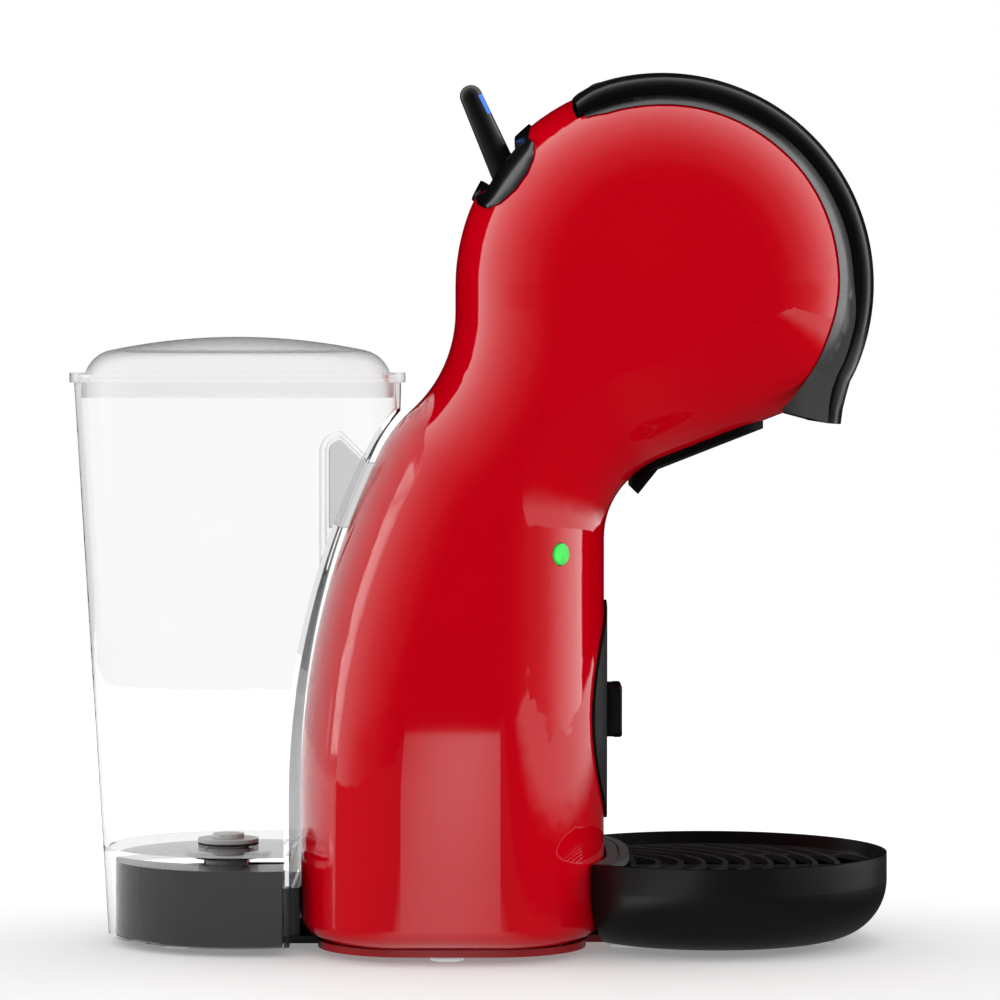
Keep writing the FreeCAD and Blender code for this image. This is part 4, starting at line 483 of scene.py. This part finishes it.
CHEEK_IN_STOPS = [(115.5, 58.6), (108, 57.3), (92, 56.9), (45, 56.3), (1.4, 55.4), (-21, 54.6),
                  (-47.5, 54.8)]
CHEEK_OUT_STOPS = [(115.5, 60.2), (4, 60.2), (-13, 62), (-24, 62.4)]
CHEEK_OUT_TAIL = [(114.8, 187.6), (113, 182.6), (112, 177.2), (111.8, 172)]
CHEEK_PROUD = 0.7
CHEEK_LIFT = 0.8
CHEEK_THICKNESS = 0.35
RAY_START = -0.2
RAY_REACH = 0.19


def housing_side(x, z):
    """Half width of the red housing at a point of the side view, or 0 beside it."""
    shell = nodes["left_shell"]
    turn = shell.matrix_world.inverted()
    start = turn @ Vector((x * MM, RAY_START, z * MM))
    way = (turn.to_3x3() @ Vector((0, 1, 0))).normalized()
    hit, place = shell.ray_cast(start, way, distance=RAY_REACH)[:2]
    return -(shell.matrix_world @ place).y / MM if hit else 0


def cheek(side):
    """Thin plate between band and housing; it follows the housing's round edge."""
    inner = sweep(CHEEK_IN_STOPS, RINGS)
    outer = along(sweep(CHEEK_OUT_STOPS, TURNS) + CHEEK_OUT_TAIL, RINGS)
    points = []
    for a, b in zip(inner, outer):
        row = []
        for step in range(STRIPS + 1):
            x, z = between(a, b, step / STRIPS)
            row.append((x, max(HANDLE_HALF + CHEEK_PROUD, housing_side(x, z) + CHEEK_LIFT), z))
        points += [(x, side * y, z) for x, y, z in row]
        points += [(x, side * (y - CHEEK_THICKNESS), z) for x, y, z in row]
    return closed_strip("cheek", points, RINGS, cheek_grey_painted_highlight, "handle", side)


for side in (-1, 1):
    bezel_lap(side)
band = handle_band()
lug_slots(band)
cheeks = [cheek(side) for side in (-1, 1)]
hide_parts("handle")
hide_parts("handle_cheeks")


# Floor, in metres

FLOOR_FRONT = -0.933
FLOOR_BACK = 1.1
FLOOR_HALF = 0.9
FLOOR_DARK = (0.6, 0.6, 0.6)
FLOOR_PALE = (0.62, 0.62, 0.62)
FLOOR_SCALE = 3

# The floor's own glow, which grows away from the object, so that the floor near the object is darker:
# painted shade
GLOW_ROOM = 0.2
GLOW_ROOM_BEHIND = 0.1
GLOW_STOPS = [(0.0, 0.23), (0.5, 0.46)]

# What gloss shows of the floor: a painted pool of light in front of the column, and painted reflection
# levels along X
POOL_X = -0.012
POOL_SPREAD = 20.0
POOL_LEVEL = 2.2
POOL_STOPS = [(0.0, 1.0), (0.95, 0.0)]
POOL_AHEAD_STOPS = [(0.0, 0.0), (0.12, 0.7), (0.8, 1.0)]
PAINTED_REFLECTION_STOPS = [(0.1, 0.13), (0.17, 0.03), (0.36, 0.03), (0.6, 1.3)]


def floor_material():
    """Pale matt floor with painted shade round the object; gloss sees a painted reflection instead: dim,
    with a painted pool of light in front.
    """
    material, tree, shader = new_material("floor_white")
    add, subtract, multiply = arithmetic(tree, "ADD", "SUBTRACT", "MULTIPLY")
    larger, absolute = arithmetic(tree, "MAXIMUM", "ABSOLUTE")
    place = axes(tree)
    tone = tones(tree, noise(tree, FLOOR_SCALE), FLOOR_DARK, FLOOR_PALE)
    tree.links.new(tone, shader.inputs["Base Color"])
    shader.inputs["Roughness"].default_value = 0.6
    shader.inputs["Specular IOR Level"].default_value = 0.2
    shader.inputs["Emission Color"].default_value = (1, 1, 1, 1)
    ahead = multiply(place["Y"], -1.0)
    aside = subtract(absolute(place["X"]), GLOW_ROOM)
    behind = add(place["Y"], GLOW_ROOM_BEHIND)
    away = larger(behind, larger(aside, subtract(ahead, GLOW_ROOM)))
    # painted shade: the floor's glow is lower near the object
    tree.links.new(fade(tree, away, GLOW_STOPS), shader.inputs["Emission Strength"])
    # painted reflection: a pool of light and levels along X, which gloss sees in place of the floor
    off_pool = absolute(subtract(place["X"], POOL_X))
    pool = fade(tree, multiply(off_pool, POOL_SPREAD), POOL_STOPS)
    pool = multiply(multiply(pool, fade(tree, ahead, POOL_AHEAD_STOPS)), POOL_LEVEL)
    painted_reflection = tree.nodes.new("ShaderNodeEmission")
    tree.links.new(add(pool, fade(tree, place["X"], PAINTED_REFLECTION_STOPS)), painted_reflection.inputs["Strength"])
    path = tree.nodes.new("ShaderNodeLightPath").outputs
    mix = tree.nodes.new("ShaderNodeMixShader")
    glossy = multiply(path["Is Glossy Ray"], subtract(1.0, path["Is Transmission Ray"]))
    tree.links.new(glossy, mix.inputs["Fac"])
    tree.links.new(shader.outputs["BSDF"], mix.inputs[1])
    tree.links.new(painted_reflection.outputs["Emission"], mix.inputs[2])
    tree.links.new(mix.outputs["Shader"], tree.nodes["Material Output"].inputs["Surface"])
    return material


floor_mesh = bpy.data.meshes.new("floor")
floor_mesh.from_pydata([(-FLOOR_HALF, FLOOR_FRONT, 0), (FLOOR_HALF, FLOOR_FRONT, 0),
                        (FLOOR_HALF, FLOOR_BACK, 0), (-FLOOR_HALF, FLOOR_BACK, 0)], [], [(0, 1, 2, 3)])
floor_mesh.materials.append(floor_material())
floor = bpy.data.objects.new("floor", floor_mesh)
scene.collection.objects.link(floor)


# Lamps, world and camera

MIDDLE = (0, 0, 0.15)


def turn_to(item, target):
    """Turn a lamp or camera towards a point."""
    item.rotation_euler = (Vector(target) - item.location).to_track_quat("-Z", "Y").to_euler()


def lamp(name, place, target, width, height, watts):
    """Soft lamp that lights the surfaces; the world's gradient is what gloss shows."""
    data = bpy.data.lights.new(name, "AREA")
    data.shape = "RECTANGLE"
    data.size = width
    data.size_y = height
    data.energy = watts
    item = bpy.data.objects.new(name, data)
    item.location = place
    turn_to(item, target)
    item.visible_glossy = False
    scene.collection.objects.link(item)


lamp("left_box", (-1.6, 0.1, 0.5), MIDDLE, 1.0, 1.0, 9)
lamp("right_box", (1.6, 0.1, 0.5), MIDDLE, 1.0, 1.0, 9)
lamp("top_box", (0, 0.1, 1.7), (0, 0, 0), 1.2, 1.0, 5)
lamp("front_box", (-0.3, -2.4, 1.0), MIDDLE, 1.6, 1.2, 3)

AMBIENT = 0.98
CLEAR_LEVEL = 0.8
SKY_LEVEL = 2.0
RIGHT_GAIN = 0.4
# Levels from the front, at 0, to the back, at 1
SKY_STOPS = [(0.0, 0.01), (0.05, 0.04), (0.125, 0.1), (0.25, 0.2), (0.39, 0.38), (0.525, 0.58), (0.65, 0.77),
             (0.75, 0.93), (0.785, 1.0), (0.795, 0.0), (1.0, 0.0)]
# Below the horizon, which is at 0.5, the front is dimmer
LOW_STOPS = [(0.48, 0.5), (0.56, 1.0)]
FRONT_STOPS = [(0.3, 1.0), (0.6, 0.0)]


def studio_world():
    """White where it is looked at; gloss shows it dark in front and paler to the sides."""
    world = bpy.data.worlds.new("studio")
    world.use_nodes = True
    tree = world.node_tree
    add, subtract, multiply = arithmetic(tree, "ADD", "SUBTRACT", "MULTIPLY")
    larger, above = arithmetic(tree, "MAXIMUM", "GREATER_THAN")
    way = axes(tree, "Generated")
    across = multiply(add(way["Y"], 1.0), 0.5)
    right = multiply(larger(way["X"], 0.0), RIGHT_GAIN)
    low = subtract(1.0, fade(tree, add(way["Z"], 0.5), LOW_STOPS))
    kept = subtract(1.0, multiply(fade(tree, across, FRONT_STOPS), low))
    gain = multiply(multiply(add(right, 1.0), SKY_LEVEL), kept)
    sky = multiply(fade(tree, across, SKY_STOPS, "LINEAR"), gain)
    path = tree.nodes.new("ShaderNodeLightPath").outputs
    glossy = above(path["Glossy Depth"], 0.5)
    through = above(path["Transmission Depth"], 0.5)
    direct = multiply(larger(path["Is Camera Ray"], path["Is Transmission Ray"]), subtract(1.0, glossy))
    dim = multiply(multiply(glossy, through), CLEAR_LEVEL)
    shine = multiply(multiply(glossy, subtract(1.0, through)), sky)
    rest = multiply(subtract(1.0, larger(direct, glossy)), AMBIENT)
    background = tree.nodes["Background"]
    tree.links.new(add(add(add(direct, dim), shine), rest), background.inputs["Strength"])
    background.inputs["Color"].default_value = (1, 1, 1, 1)
    scene.world = world


studio_world()

CAMERA_PLACE = (0.007, -1.4, 0.189)
CAMERA_AIM = (0.007, 0, 0.146)

camera_data = bpy.data.cameras.new("camera")
camera_data.lens = 152.5
camera_data.sensor_width = 36
camera_data.clip_start = 0.05
camera = bpy.data.objects.new("camera", camera_data)
camera.location = CAMERA_PLACE
turn_to(camera, CAMERA_AIM)
scene.collection.objects.link(camera)
scene.camera = camera
